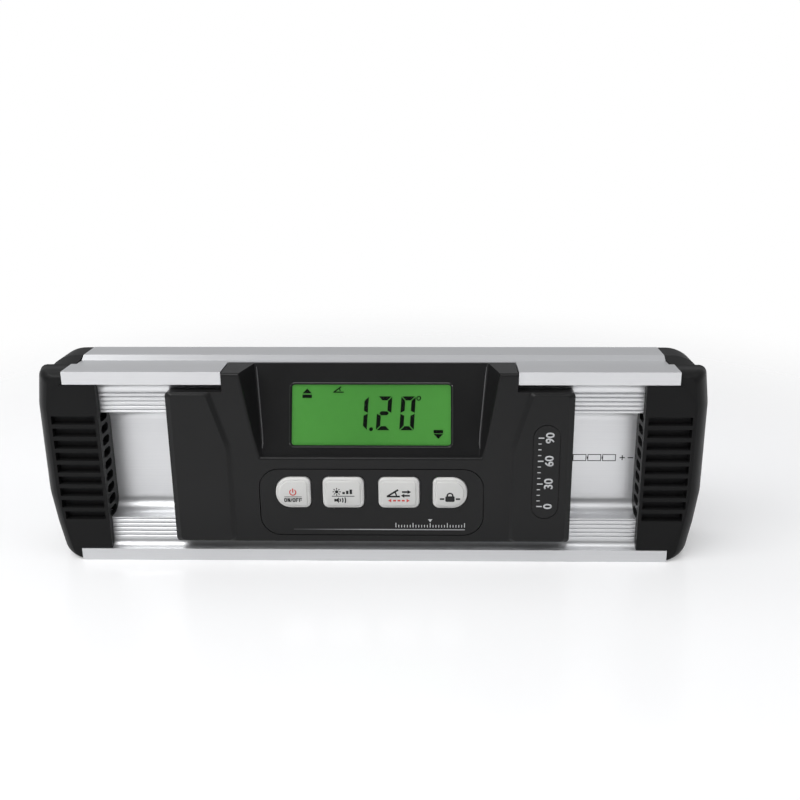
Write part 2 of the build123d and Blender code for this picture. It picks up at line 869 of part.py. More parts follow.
    # keypad seat and key holes
    with BuildSketch(facing(-panel_proud)):
        bezel_face(bezel_gap)
    extrude(amount=-bezel_thickness, mode=Mode.SUBTRACT)
    for left, right, left_radius, right_radius in keys.values():
        with BuildSketch(facing(-panel_proud)) as key_hole:
            key_face(key_hole, left, right, left_radius, right_radius, key_gap)
        extrude(amount=-panel_wall, mode=Mode.SUBTRACT)

    # screw bosses that carry the board
    with BuildSketch(facing(board_setback)):
        with Locations(*module_screw_places):
            Circle(module_boss_radius)
    extrude(amount=board_setback - panel_back)
    with BuildSketch(facing(board_setback)):
        with Locations(*module_screw_places):
            Circle(module_screw_radius + screw_clearance)
    extrude(amount=module_screw_bite + screw_clearance, mode=Mode.SUBTRACT)

    with BuildSketch(facing(-module_proud)):
        inlay_face(0)
    extrude(amount=-inlay_depth, mode=Mode.SUBTRACT)
display_housing.part.label = "display_housing"
export_step(display_housing.part, "parts/display_housing.step")

# Foam gasket between the housing and the web, open where the display passes through
with BuildPart() as housing_gasket:
    with BuildSketch(facing(web_setback)):
        with Locations((0, mid_z)):
            Rectangle(2 * rear_half, 2 * half_web)
            Rectangle(2 * cavity_half, 2 * board_opening_half, mode=Mode.SUBTRACT)
        with Locations((0, mid_z + half_web)):
            Rectangle(2 * display_bay_half, 2 * gasket_width, mode=Mode.SUBTRACT)
    extrude(amount=gasket_thickness)
housing_gasket.part.label = "housing_gasket"
export_step(housing_gasket.part, "parts/housing_gasket.step")

# Module screws, headed on the back of the web
with BuildPart() as housing_screws:
    web_back = web_setback + beam_wall
    with BuildSketch(facing(web_back)):
        with Locations(*module_screw_places):
            Circle(module_screw_radius)
    extrude(amount=web_back - board_setback + module_screw_bite)
    with BuildSketch(facing(web_back)):
        with Locations(*module_screw_places):
            Circle(module_screw_head_radius)
    extrude(amount=-module_screw_head)
    with BuildSketch(facing(web_back + module_screw_head)):
        with Locations(*module_screw_places):
            Rectangle(2 * module_screw_head_radius, module_screw_slot)
    extrude(amount=module_screw_slot_depth, mode=Mode.SUBTRACT)
housing_screws.part.label = "housing_screws"
export_step(housing_screws.part, "parts/housing_screws.step")

# Clear window of the display
with BuildPart() as lcd_window:
    with BuildSketch(behind_floor(lens_depth)):
        Rectangle(lens_width, lens_height)
    extrude(amount=-lens_thickness)
lcd_window.part.label = "lcd_window"
export_step(lcd_window.part, "parts/lcd_window.step")

# Liquid-crystal glass: a front sheet, and a longer rear sheet with the contact ledge
glass_start = lens_depth + lens_thickness + stack_gap
with BuildPart() as lcd_panel:
    with BuildSketch(behind_floor(glass_start)):
        with Locations((0, glass_ledge / 2)):
            Rectangle(glass_width, glass_height - glass_ledge)
    extrude(amount=-panel_thickness)
    with BuildSketch(behind_floor(glass_start + panel_thickness / 2)):
        Rectangle(glass_width, glass_height)
    extrude(amount=-panel_thickness / 2)
lcd_panel.part.label = "lcd_panel"
export_step(lcd_panel.part, "parts/lcd_panel.step")

# Backlight behind the glass
backlight_start = glass_start + panel_thickness + stack_gap
with BuildPart() as backlight:
    with BuildSketch(behind_floor(backlight_start)):
        Rectangle(glass_width, glass_height)
    extrude(amount=-backlight_thickness)
backlight.part.label = "backlight"
export_step(backlight.part, "parts/backlight.step")

# Frame that holds glass and backlight against the back of the floor
frame_seat = backlight_start + backlight_thickness + stack_gap
pocket_width = glass_width + 2 * stack_clearance
pocket_height = glass_height + 2 * stack_clearance
with BuildPart() as lcd_frame:
    with BuildSketch(behind_floor(floor_wall)):
        Rectangle(pocket_width + 2 * frame_rim, pocket_height + 2 * frame_rim)
    extrude(amount=floor_wall - frame_seat - frame_back)
    with BuildSketch(behind_floor(floor_wall)):
        Rectangle(pocket_width, pocket_height)
    extrude(amount=floor_wall - frame_seat, mode=Mode.SUBTRACT)
    with BuildSketch(behind_floor(frame_seat)):
        Rectangle(pocket_width - 2 * frame_opening_inset, pocket_height - 2 * frame_opening_inset)
    extrude(amount=-2 * frame_back, mode=Mode.SUBTRACT)
lcd_frame.part.label = "lcd_frame"
export_step(lcd_frame.part, "parts/lcd_frame.step")

# Keypad insert
with BuildPart() as keypad_bezel:
    with BuildSketch(facing(-panel_proud)):
        bezel_face(0)
    extrude(amount=-bezel_thickness)
    for left, right, left_radius, right_radius in keys.values():
        with BuildSketch(facing(-panel_proud)) as key_hole:
            key_face(key_hole, left, right, left_radius, right_radius, key_gap)
        extrude(amount=-bezel_thickness, mode=Mode.SUBTRACT)
keypad_bezel.part.label = "keypad_bezel"
export_step(keypad_bezel.part, "parts/keypad_bezel.step")

# Keys, each with a rounded face, a skirt that holds it behind the panel and a stem
key_front = -panel_proud - key_proud
skirt_front = panel_back + key_rest_gap
skirt_back = skirt_front + key_skirt_thickness
stem_end = skirt_back + stem_length
for name, (left, right, left_radius, right_radius) in keys.items():
    with BuildPart() as key:
        with BuildSketch(facing(key_front)) as key_top:
            key_face(key_top, left, right, left_radius, right_radius, 0)
        extrude(amount=key_front - skirt_back)
        fillet(key.faces().sort_by(Axis.Y)[0].edges(), radius=key_edge_radius)
        with BuildSketch(facing(skirt_front)) as skirt:
            key_face(skirt, left, right, left_radius, right_radius, key_skirt)
        extrude(amount=-key_skirt_thickness)
        with BuildSketch(facing(skirt_back)):
            with Locations(((left + right) / 2, key_rise)):
                Circle(stem_radius)
        extrude(amount=-stem_length)
    key.part.label = name
    export_step(key.part, f"parts/{name}.step")

    # plunger of the switch, pushed by the key's stem
    plunger_name = name.replace("key", "switch_plunger")
    with BuildPart() as plunger:
        with BuildSketch(facing(stem_end)):
            with Locations(((left + right) / 2, key_rise)):
                Circle(plunger_radius)
        extrude(amount=-plunger_length)
    plunger.part.label = plunger_name
    export_step(plunger.part, f"parts/{plunger_name}.step")

# Switch bodies on the board
key_centres = [((left + right) / 2, key_rise) for left, right, _, _ in keys.values()]
with BuildPart() as key_switches:
    with BuildSketch(facing(board_setback)):
        with Locations(*key_centres):
            Rectangle(switch_size, switch_size)
    extrude(amount=switch_height)
    with BuildSketch(facing(board_setback - switch_height)):
        with Locations(*key_centres):
            Circle(plunger_radius + plunger_clearance)
    plunger_end = stem_end + plunger_length + key_travel
    switch_floor = plunger_end + plunger_clearance
    extrude(amount=board_setback - switch_height - switch_floor, mode=Mode.SUBTRACT)
key_switches.part.label = "key_switches"
export_step(key_switches.part, "parts/key_switches.step")

# Circuit board, notched for the display and drilled for the module screws
with BuildPart() as main_board:
    with BuildSketch(facing(board_setback)):
        with Locations((0, mid_z)):
            RectangleRounded(2 * board_half, board_height, board_corner)
        with Locations((0, floor_foot_height - board_notch_drop)):
            Rectangle(2 * board_notch_half, board_height, align=(Align.CENTER, Align.MIN), mode=Mode.SUBTRACT)
        with Locations(*module_screw_places):
            Circle(module_screw_radius + 3 * screw_clearance, mode=Mode.SUBTRACT)
    extrude(amount=-board_thickness)
main_board.part.label = "main_board"
export_step(main_board.part, "parts/main_board.step")

# Tilt sensor
with BuildPart() as tilt_sensor:
    with BuildSketch(facing(board_setback)):
        with Locations((-sensor_x, mid_z + sensor_rise)):
            Rectangle(sensor_size, sensor_size)
    extrude(amount=sensor_height)
    chamfer(tilt_sensor.faces().sort_by(Axis.Y)[0].edges(), length=sensor_edge)
tilt_sensor.part.label = "tilt_sensor"
export_step(tilt_sensor.part, "parts/tilt_sensor.step")

# Controller with legs on two sides
with BuildPart() as controller_chip:
    with BuildSketch(facing(board_setback)):
        with Locations((sensor_x, mid_z + chip_rise)):
            Rectangle(chip_size, chip_size)
    extrude(amount=chip_height)
    with BuildSketch(facing(board_setback)):
        with Locations((sensor_x, mid_z + chip_rise)):
            with GridLocations(chip_pin_pitch, 1, chip_pin_count, 1):
                Rectangle(chip_pin_width, chip_size + 2 * chip_pin_reach)
    extrude(amount=chip_pin_thickness)
controller_chip.part.label = "controller_chip"
export_step(controller_chip.part, "parts/controller_chip.step")

# Buzzer
with BuildPart() as buzzer:
    with BuildSketch(facing(board_setback)):
        with Locations((sensor_x, key_rise)):
            Circle(buzzer_radius)
    extrude(amount=buzzer_height)
    with BuildSketch(facing(board_setback - buzzer_height)):
        with Locations((sensor_x, key_rise)):
            Circle(buzzer_vent)
    extrude(amount=-buzzer_height / 2, mode=Mode.SUBTRACT)
buzzer.part.label = "buzzer"
export_step(buzzer.part, "parts/buzzer.step")

# Inlay in the right wing
with BuildPart() as label_inlay:
    with BuildSketch(facing(-module_proud)):
        inlay_face(inlay_gap)
    extrude(amount=-inlay_depth)
label_inlay.part.label = "label_inlay"
export_step(label_inlay.part, "parts/label_inlay.step")

# Battery cap with a coin slot, and its seal and contact
with BuildPart() as battery_cap:
    with BuildSketch(across(cap_end)):
        with Locations((cell_y, 0)):
            Circle(battery_cap_radius)
    extrude(amount=-battery_cap_head)
    chamfer(battery_cap.faces().sort_by(Axis.X)[-1].edges(), length=battery_cap_edge)
    with BuildSketch(across(cap_end - battery_cap_head)):
        with Locations((cell_y, 0)):
            Circle(battery_cap_plug)
    extrude(amount=-battery_cap_length)
    with BuildSketch(across(cap_end)):
        with Locations((cell_y, 0)):
            Rectangle(coin_slot_width, coin_slot_length)
    extrude(amount=-coin_slot_depth, mode=Mode.SUBTRACT)
battery_cap.part.label = "battery_cap"
export_step(battery_cap.part, "parts/battery_cap.step")

with BuildPart() as battery_cap_seal:
    with BuildSketch(across(cap_end - battery_cap_head)):
        with Locations((cell_y, 0)):
            Circle(battery_cap_radius)
            Circle(battery_cap_plug + battery_cap_clearance, mode=Mode.SUBTRACT)
    extrude(amount=-battery_seal)
battery_cap_seal.part.label = "battery_cap_seal"
export_step(battery_cap_seal.part, "parts/battery_cap_seal.step")

plug_tip = cap_end - battery_cap_head - battery_cap_length
with BuildPart() as battery_cap_contact:
    with BuildSketch(across(plug_tip)):
        with Locations((cell_y, 0)):
            Circle(contact_radius)
    extrude(amount=-contact_thickness)
    with BuildSketch(across(plug_tip - contact_thickness)):
        with Locations((cell_y, 0)):
            Circle(contact_tip_radius)
    extrude(amount=-contact_rise)
battery_cap_contact.part.label = "battery_cap_contact"
export_step(battery_cap_contact.part, "parts/battery_cap_contact.step")

# Cells in a row, with their nubs towards the inner contact
cell_start = plug_tip - contact_thickness - contact_rise - stack_gap
cell_pitch = cell_length + stack_gap
cells_end = cell_start - cell_count * cell_pitch
with BuildPart() as battery_cells:
    for index in range(cell_count):
        cell_tail = cell_start - index * cell_pitch
        with BuildSketch(across(cell_tail)):
            with Locations((cell_y, 0)):
                Circle(cell_diameter / 2)
        extrude(amount=cell_nub_height - cell_length)
        with BuildSketch(across(cell_tail - cell_length + cell_nub_height)):
            with Locations((cell_y, 0)):
                Circle(cell_nub_diameter / 2)
        extrude(amount=-cell_nub_height)
battery_cells.part.label = "battery_cells"
export_step(battery_cells.part, "parts/battery_cells.step")

# Tube around the cells, closed at its inner end
tube_mouth = beam_end - cap_lip - cap_gap
tube_floor = cells_end - leaf_room
with BuildPart() as battery_tube:
    with BuildSketch(across(tube_mouth)):
        with Locations((cell_y, 0)):
            Circle(tube_outer_radius)
    extrude(amount=tube_floor - tube_wall - tube_mouth)
    with BuildSketch(across(tube_mouth)):
        with Locations((cell_y, 0)):
            Circle(tube_inner_radius)
    extrude(amount=tube_floor - tube_mouth, mode=Mode.SUBTRACT)
battery_tube.part.label = "battery_tube"
export_step(battery_tube.part, "parts/battery_tube.step")

# Leaf contact at the tube's inner end
with BuildPart() as battery_contact_inner:
    with BuildSketch(Plane.XY.offset(mid_z)):
        with BuildLine() as leaf_line:
            Polyline(
                (tube_floor + leaf_thickness / 2, cell_y - leaf_span / 2),
                (tube_floor + leaf_thickness / 2, cell_y + leaf_span / 2),
                (cells_end - leaf_thickness, cell_y),
                (tube_floor + leaf_room / 2, cell_y - leaf_span / 2),
            )
        trace(line_width=leaf_thickness)
    extrude(amount=leaf_width / 2, both=True)
battery_contact_inner.part.label = "battery_contact_inner"
export_step(battery_contact_inner.part, "parts/battery_contact_inner.step")
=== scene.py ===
import json
import math

import bmesh
import bpy
from mathutils import Matrix, Vector


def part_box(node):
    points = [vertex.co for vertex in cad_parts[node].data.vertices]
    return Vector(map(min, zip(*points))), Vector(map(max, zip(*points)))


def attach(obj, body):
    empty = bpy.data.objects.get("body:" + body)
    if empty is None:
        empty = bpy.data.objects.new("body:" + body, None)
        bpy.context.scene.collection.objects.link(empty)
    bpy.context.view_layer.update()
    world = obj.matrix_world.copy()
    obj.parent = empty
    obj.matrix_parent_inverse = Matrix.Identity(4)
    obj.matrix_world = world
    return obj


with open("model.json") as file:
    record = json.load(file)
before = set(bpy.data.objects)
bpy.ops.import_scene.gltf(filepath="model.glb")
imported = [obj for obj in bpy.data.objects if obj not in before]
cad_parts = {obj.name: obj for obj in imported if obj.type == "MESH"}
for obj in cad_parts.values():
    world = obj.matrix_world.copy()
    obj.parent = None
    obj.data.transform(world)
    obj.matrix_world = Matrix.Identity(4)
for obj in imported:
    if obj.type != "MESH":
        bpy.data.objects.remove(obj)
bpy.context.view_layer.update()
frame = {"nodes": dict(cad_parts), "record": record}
print("frame loaded:", len(frame["nodes"]), "nodes")

mm = 0.001
tau = 2 * math.pi
forwards = Vector((0, -1, 0))  # the way that the object's front looks
smoothAngle = math.radians(40)


# small helpers

def clearSelection():
    if bpy.context.object and bpy.context.object.mode != "OBJECT":
        bpy.ops.object.mode_set(mode="OBJECT")
    bpy.ops.object.select_all(action="DESELECT")


def makeActive(*pieces):
    clearSelection()
    for piece in pieces:
        piece.select_set(True)
    bpy.context.view_layer.objects.active = pieces[0]
    return pieces[0]


def editing(piece):
    makeActive(piece)
    bpy.ops.object.mode_set(mode="EDIT")
    return bmesh.from_edit_mesh(piece.data)


def doneEditing():
    bpy.ops.object.mode_set(mode="OBJECT")


def closeShape():
    # ends the editing with all faces turned outwards
    bpy.ops.mesh.select_all(action="SELECT")
    bpy.ops.mesh.normals_make_consistent(inside=False)
    doneEditing()


def pickCorners(piece, chosen):
    # starts editing with the vertices that are chosen
    shape = editing(piece)
    for vert in shape.verts:
        vert.select_set(chosen(vert))
    bmesh.update_edit_mesh(piece.data)


def joined(pieces, name):
    whole = makeActive(*pieces)
    if len(pieces) > 1:
        bpy.ops.object.join()
    whole.name = name
    whole.data.name = name
    return whole


def flatSide(node, towards, alike=0.8, flat=0.01 * mm):
    # middle and normal of a node's largest flat side that looks this way
    mesh = frame["nodes"][node].data
    mesh.calc_loop_triangles()
    looking = [t for t in mesh.loop_triangles if Vector(t.normal).dot(towards) > alike]
    normal = Vector(max(looking, key=lambda t: t.area).normal)
    corners = [mesh.vertices[v].co for t in looking for v in t.vertices]
    front = max(c.dot(normal) for c in corners)
    onSide = [c for c in corners if c.dot(normal) > front - flat]
    low = Vector([min(c[i] for c in onSide) for i in range(3)])
    high = Vector([max(c[i] for c in onSide) for i in range(3)])
    return (low + high) / 2, normal


def facingPlace(middle, normal):
    # matrix that lays a flat drawing onto a side: x right, y up, z out of it
    right = Vector((1, 0, 0))
    up = normal.cross(right).normalized()
    rows = Matrix((right, up, normal)).transposed().to_4x4()
    return Matrix.Translation(middle) @ rows


# small helpers for node trees

def newGroup(name, inputs, outputs):
    group = bpy.data.node_groups.new(name, "ShaderNodeTree")
    for label, value in inputs.items():
        socket = group.interface.new_socket(label, in_out="INPUT", socket_type="NodeSocketFloat")
        socket.default_value = value
    for label in outputs:
        group.interface.new_socket(label, in_out="OUTPUT", socket_type="NodeSocketFloat")
    ends = group.nodes.new("NodeGroupInput"), group.nodes.new("NodeGroupOutput")
    return group, ends[0], ends[1]


def place(tree, kind, **values):
    # a new node, with values for its settings or its sockets
    node = tree.nodes.new(kind)
    for key, value in values.items():
        if hasattr(node, key):
            setattr(node, key, value)
        else:
            node.inputs[key.replace("_", " ")].default_value = value
    return node


def mathNode(tree, operation, first, second=0.0):
    node = place(tree, "ShaderNodeMath", operation=operation)
    for index, value in enumerate((first, second)):
        if isinstance(value, (int, float)):
            node.inputs[index].default_value = value
        else:
            tree.links.new(value, node.inputs[index])
    return node.outputs[0]


def spread(tree, value, low, high):
    # a 0 to 1 value laid out between two others
    node = place(tree, "ShaderNodeMapRange", To_Min=low, To_Max=high)
    tree.links.new(value, node.inputs["Value"])
    return node.outputs["Result"]


def ramp(tree, value, low, high, kind="SMOOTHSTEP"):
    # step from 0 at one value to 1 at another
    node = place(tree, "ShaderNodeMapRange", interpolation_type=kind, From_Min=low, From_Max=high)
    tree.links.new(value, node.inputs["Value"])
    return node.outputs["Result"]


def axes(tree, space="Object"):
    # X, Y and Z of the shaded point
    where = tree.nodes.new("ShaderNodeTexCoord")
    split = tree.nodes.new("ShaderNodeSeparateXYZ")
    tree.links.new(where.outputs[space], split.inputs["Vector"])
    return split.outputs


def blendColour(tree, share, first, second):
    node = place(tree, "ShaderNodeMix", data_type="RGBA")
    tree.links.new(share, node.inputs[0])
    for socket, colour in ((node.inputs[6], first), (node.inputs[7], second)):
        if isinstance(colour, bpy.types.NodeSocket):
            tree.links.new(colour, socket)
        else:
            socket.default_value = (*colour, 1)
    return node.outputs[2]


# shared effects, as node groups

def noise(group, scale, **values):
    # a noise on the object's own coordinates, its scale taken from a socket
    where = place(group, "ShaderNodeTexCoord")
    node = place(group, "ShaderNodeTexNoise", **values)
    group.links.new(where.outputs["Object"], node.inputs["Vector"])
    group.links.new(scale, node.inputs["Scale"])
    return node.outputs["Fac"]


def mouldGrainGroup():
    # fine eroded texture of a moulding tool, with broad soft patches
    group, start, end = newGroup("mouldGrain", {"Scale": 4000, "Patch Scale": 40}, ["Height", "Patch"])
    fine = noise(group, start.outputs["Scale"], Detail=3.0, Roughness=0.6)
    broad = noise(group, start.outputs["Patch Scale"], Detail=2.0)
    group.links.new(fine, end.inputs["Height"])
    group.links.new(broad, end.inputs["Patch"])
    return group


def drawnLinesGroup(grainShare=0.4):
    # faint lines that an extrusion die leaves along X, over a fine grain
    group, start, end = newGroup("drawnLines", {"Across": 6000, "Along": 25}, ["Lines", "Height"])
    where = place(group, "ShaderNodeTexCoord")
    stretch = group.nodes.new("ShaderNodeCombineXYZ")
    group.links.new(start.outputs["Along"], stretch.inputs["X"])
    for axis in "YZ":
        group.links.new(start.outputs["Across"], stretch.inputs[axis])
    scaled = place(group, "ShaderNodeVectorMath", operation="MULTIPLY")
    group.links.new(where.outputs["Object"], scaled.inputs[0])
    group.links.new(stretch.outputs["Vector"], scaled.inputs[1])
    lines = place(group, "ShaderNodeTexNoise", Scale=1.0, Detail=3.0, Roughness=0.7)
    group.links.new(scaled.outputs["Vector"], lines.inputs["Vector"])
    group.links.new(lines.outputs["Fac"], end.inputs["Lines"])
    grain = place(group, "ShaderNodeTexNoise", Scale=9000.0, Detail=2.0)
    group.links.new(where.outputs["Object"], grain.inputs["Vector"])
    faint = mathNode(group, "MULTIPLY", grain.outputs["Fac"], grainShare)
    group.links.new(mathNode(group, "ADD", lines.outputs["Fac"], faint), end.inputs["Height"])
    return group


def handMarksGroup(clean=0.42, marked=0.68):
    # where fingers have been: soft spots, between two levels of a noise
    group, start, end = newGroup("handMarks", {"Scale": 45}, ["Mask"])
    spots = noise(group, start.outputs["Scale"], Detail=4.0, Roughness=0.55, Distortion=0.6)
    group.links.new(ramp(group, spots, clean, marked, kind="LINEAR"), end.inputs["Mask"])
    return group


def dustGroup():
    # thin dust on what looks up
    group, start, end = newGroup("settledDust", {"Amount": 0.2, "Scale": 700}, ["Mask"])
    surface = group.nodes.new("ShaderNodeNewGeometry")
    split = group.nodes.new("ShaderNodeSeparateXYZ")
    group.links.new(surface.outputs["Normal"], split.inputs["Vector"])
    upward = mathNode(group, "MAXIMUM", split.outputs["Z"], 0.0)
    specks = noise(group, start.outputs["Scale"], Detail=4.0, Roughness=0.65)
    uneven = mathNode(group, "MULTIPLY", upward, specks)
    amount = mathNode(group, "MULTIPLY", uneven, start.outputs["Amount"])
    group.links.new(amount, end.inputs["Mask"])
    return group


effects = {
    "grain": mouldGrainGroup(),
    "lines": drawnLinesGroup(),
    "marks": handMarksGroup(),
    "dust": dustGroup(),
}
print("shared effects ready:", ", ".join(effects))


def effect(tree, which, **values):
    return place(tree, "ShaderNodeGroup", node_tree=effects[which], **values).outputs


# finishes

def newFinish(name):
    finish = bpy.data.materials.new(name)
    finish.use_nodes = True
    tree = finish.node_tree
    return finish, tree, tree.nodes["Principled BSDF"]


def bumpFrom(tree, shader, height, distance, strength):
    bump = place(tree, "ShaderNodeBump", Strength=strength, Distance=distance)
    tree.links.new(height, bump.inputs["Height"])
    tree.links.new(bump.outputs["Normal"], shader.inputs["Normal"])


def unevenRoughness(tree, pattern, look):
    # the look's roughness, a little lower and higher along a pattern
    return spread(tree, pattern, look["roughness"] - look["swing"], look["roughness"] + look["swing"])


mouldUsual = {  # what a moulded look has if it says nothing else
    "patchScale": 40, "markScale": 45, "markGloss": 0.06, "swing": 0.04, "bump": 0.6, "specular": 0.5,
    "dust": 0.0, "dustColour": (0.32, 0.31, 0.29),
}


def mouldedFinish(name, ownLook):
    # moulded plastic or rubber: grain, soft patches, finger marks and dust
    look = {**mouldUsual, **ownLook}
    finish, tree, shader = newFinish(name)
    grain = effect(tree, "grain", Scale=look["grainScale"], Patch_Scale=look["patchScale"])
    marks = effect(tree, "marks", Scale=look["markScale"])
    dust = effect(tree, "dust", Amount=look["dust"])
    colour = blendColour(tree, grain["Patch"], look["dark"], look["light"])
    colour = blendColour(tree, dust["Mask"], colour, look["dustColour"])
    tree.links.new(colour, shader.inputs["Base Color"])
    dull = unevenRoughness(tree, grain["Patch"], look)
    gloss = mathNode(tree, "MULTIPLY", marks["Mask"], look["markGloss"])
    tree.links.new(mathNode(tree, "SUBTRACT", dull, gloss), shader.inputs["Roughness"])
    shader.inputs["Specular IOR Level"].default_value = look["specular"]
    bumpFrom(tree, shader, grain["Height"], look["grainDepth"], look["bump"])
    return finish


metalUsual = {  # what a metal look has if it says nothing else
    "across": 6000, "along": 25, "markScale": 30, "markDull": 0.03, "swing": 0.05,
    "lineStrength": 0.3, "metallic": 1.0,
}


def metalFinish(name, ownLook):
    # bare or plated metal, drawn along X where it is an extrusion
    look = {**metalUsual, **ownLook}
    finish, tree, shader = newFinish(name)
    lines = effect(tree, "lines", Across=look["across"], Along=look["along"])
    marks = effect(tree, "marks", Scale=look["markScale"])
    colour = blendColour(tree, lines["Lines"], look["dark"], look["light"])
    tree.links.new(colour, shader.inputs["Base Color"])
    even = unevenRoughness(tree, lines["Lines"], look)
    dull = mathNode(tree, "MULTIPLY", marks["Mask"], look["markDull"])
    tree.links.new(mathNode(tree, "ADD", even, dull), shader.inputs["Roughness"])
    shader.inputs["Metallic"].default_value = look["metallic"]
    bumpFrom(tree, shader, lines["Height"], look["lineDepth"], look["lineStrength"])
    return finish


aluminiumLook = {
    "dark": (0.70, 0.705, 0.72), "light": (0.80, 0.805, 0.815), "roughness": 0.36,
    "lineDepth": 0.02 * mm, "lineStrength": 0.25, "metallic": 0.82,
}
capLook = {
    "dark": (0.0085, 0.0086, 0.0088), "light": (0.0112, 0.0113, 0.0116), "roughness": 0.46,
    "grainScale": 3200, "grainDepth": 0.03 * mm, "dust": 0.015, "specular": 0.13,
}
moduleLook = {
    "dark": (0.0072, 0.0073, 0.0075), "light": (0.0098, 0.0099, 0.0102), "roughness": 0.40,
    "grainScale": 4200, "grainDepth": 0.02 * mm, "dust": 0.015, "specular": 0.26,
}
keyLook = {
    "dark": (0.73, 0.727, 0.71), "light": (0.79, 0.787, 0.77), "roughness": 0.46,
    "grainScale": 5000, "grainDepth": 0.01 * mm, "dust": 0.05,
}
inlayLook = {
    "dark": (0.0065, 0.0066, 0.0068), "light": (0.009, 0.009, 0.0093), "roughness": 0.36,
    "grainScale": 7000, "grainDepth": 0.006 * mm, "dust": 0.015, "specular": 0.27,
}
innerLook = {
    "dark": (0.50, 0.50, 0.48), "light": (0.60, 0.60, 0.57), "roughness": 0.5,
    "grainScale": 3000, "grainDepth": 0.01 * mm, "dust": 0.1,
}
foamLook = {
    "dark": (0.02, 0.02, 0.02), "light": (0.05, 0.05, 0.05), "roughness": 0.85,
    "grainScale": 1500, "grainDepth": 0.12 * mm, "dust": 0.1, "specular": 0.2,
}
chipLook = {
    "dark": (0.018, 0.018, 0.018), "light": (0.03, 0.03, 0.03), "roughness": 0.55,
    "grainScale": 6000, "grainDepth": 0.01 * mm, "dust": 0.1,
}
sleeveLook = {
    "dark": (0.05, 0.12, 0.28), "light": (0.07, 0.16, 0.34), "roughness": 0.28,
    "grainScale": 2500, "grainDepth": 0.005 * mm,
}
zincLook = {
    "dark": (0.48, 0.49, 0.50), "light": (0.64, 0.65, 0.66), "roughness": 0.32,
    "across": 2500, "along": 2500, "lineDepth": 0.01 * mm,
}
magnetLook = {
    "dark": (0.62, 0.61, 0.59), "light": (0.74, 0.73, 0.70), "roughness": 0.18,
    "across": 1500, "along": 1500, "lineDepth": 0.004 * mm,
}
brassLook = {
    "dark": (0.60, 0.45, 0.20), "light": (0.78, 0.60, 0.30), "roughness": 0.25,
    "across": 3000, "along": 600, "lineDepth": 0.006 * mm,
}
# the seam bead's colour, far lighter than the housing plastic, is a painted highlight along the corner
seamHighlightLook = {
    "dark": (0.090, 0.090, 0.092), "light": (0.120, 0.120, 0.123), "roughness": 0.34,
    "grainScale": 5000, "grainDepth": 0.01 * mm,
}
# the rim's lighter green tint is painted light from the display on the window's edge
rimHighlightLook = {
    "dark": (0.020, 0.023, 0.020), "light": (0.032, 0.036, 0.032), "roughness": 0.2,
    "grainScale": 5000, "grainDepth": 0.004 * mm, "specular": 0.8,
}
# the slot back walls are a lighter copy of the cap plastic: painted light where the slots lie in shade
slotBackPaintedLightLook = {
    "dark": (0.034, 0.034, 0.035), "light": (0.044, 0.044, 0.045), "roughness": 0.6,
    "grainScale": 3200, "grainDepth": 0.03 * mm, "specular": 0.1,
}
lightGuideLook = {
    "dark": (0.72, 0.74, 0.70), "light": (0.82, 0.84, 0.80), "roughness": 0.35,
    "grainScale": 3000, "grainDepth": 0.005 * mm,
}


windowLook = {"tint": (0.97, 0.99, 0.97), "markScale": 60, "roughness": (0.02, 0.06), "refraction": 1.49}


def windowFinish():
    # clear acrylic with a faint uneven gloss
    look = windowLook
    finish, tree, shader = newFinish("clearWindow")
    marks = effect(tree, "marks", Scale=look["markScale"])
    tree.links.new(spread(tree, marks["Mask"], *look["roughness"]), shader.inputs["Roughness"])
    shader.inputs["Base Color"].default_value = (*look["tint"], 1)
    shader.inputs["Transmission Weight"].default_value = 1.0
    shader.inputs["IOR"].default_value = look["refraction"]
    return finish


displayLook = {
    "dark": (0.055, 0.220, 0.037), "light": (0.066, 0.252, 0.045), "glow": 0.72, "lampReach": 34 * mm,
    "grainScale": 900, "patchScale": 70, "patchLift": 0.5, "roughness": (0.35, 0.45), "specular": 0.1,
}


def displayFinish():
    # backlit liquid crystal: green, a little brighter towards the lamps at both ends
    look = displayLook
    finish, tree, shader = newFinish("displayGlass")
    aside = mathNode(tree, "ABSOLUTE", axes(tree)["X"])
    reach = mathNode(tree, "DIVIDE", aside, look["lampReach"])
    soft = effect(tree, "grain", Scale=look["grainScale"], Patch_Scale=look["patchScale"])
    share = mathNode(tree, "MULTIPLY", reach, mathNode(tree, "ADD", soft["Patch"], look["patchLift"]))
    colour = blendColour(tree, share, look["dark"], look["light"])
    tree.links.new(colour, shader.inputs["Base Color"])
    tree.links.new(colour, shader.inputs["Emission Color"])
    shader.inputs["Emission Strength"].default_value = look["glow"]
    shader.inputs["Specular IOR Level"].default_value = look["specular"]
    tree.links.new(spread(tree, soft["Height"], *look["roughness"]), shader.inputs["Roughness"])
    return finish


boardLook = {
    "dark": (0.010, 0.075, 0.030), "light": (0.018, 0.12, 0.045), "traceScale": 420, "traceGap": 0.03,
    "roughness": (0.30, 0.42), "traceDepth": 0.02 * mm, "bump": 0.4,
}


def boardFinish():
    # solder mask with fine traces under it
    look = boardLook
    finish, tree, shader = newFinish("circuitBoard")
    where = place(tree, "ShaderNodeTexCoord")
    brick = place(tree, "ShaderNodeTexBrick", Scale=look["traceScale"], Mortar_Size=look["traceGap"])
    tree.links.new(where.outputs["Object"], brick.inputs["Vector"])
    traces = brick.outputs["Fac"]
    tree.links.new(blendColour(tree, traces, look["dark"], look["light"]), shader.inputs["Base Color"])
    tree.links.new(spread(tree, traces, *look["roughness"]), shader.inputs["Roughness"])
    bumpFrom(tree, shader, traces, look["traceDepth"], look["bump"])
    return finish


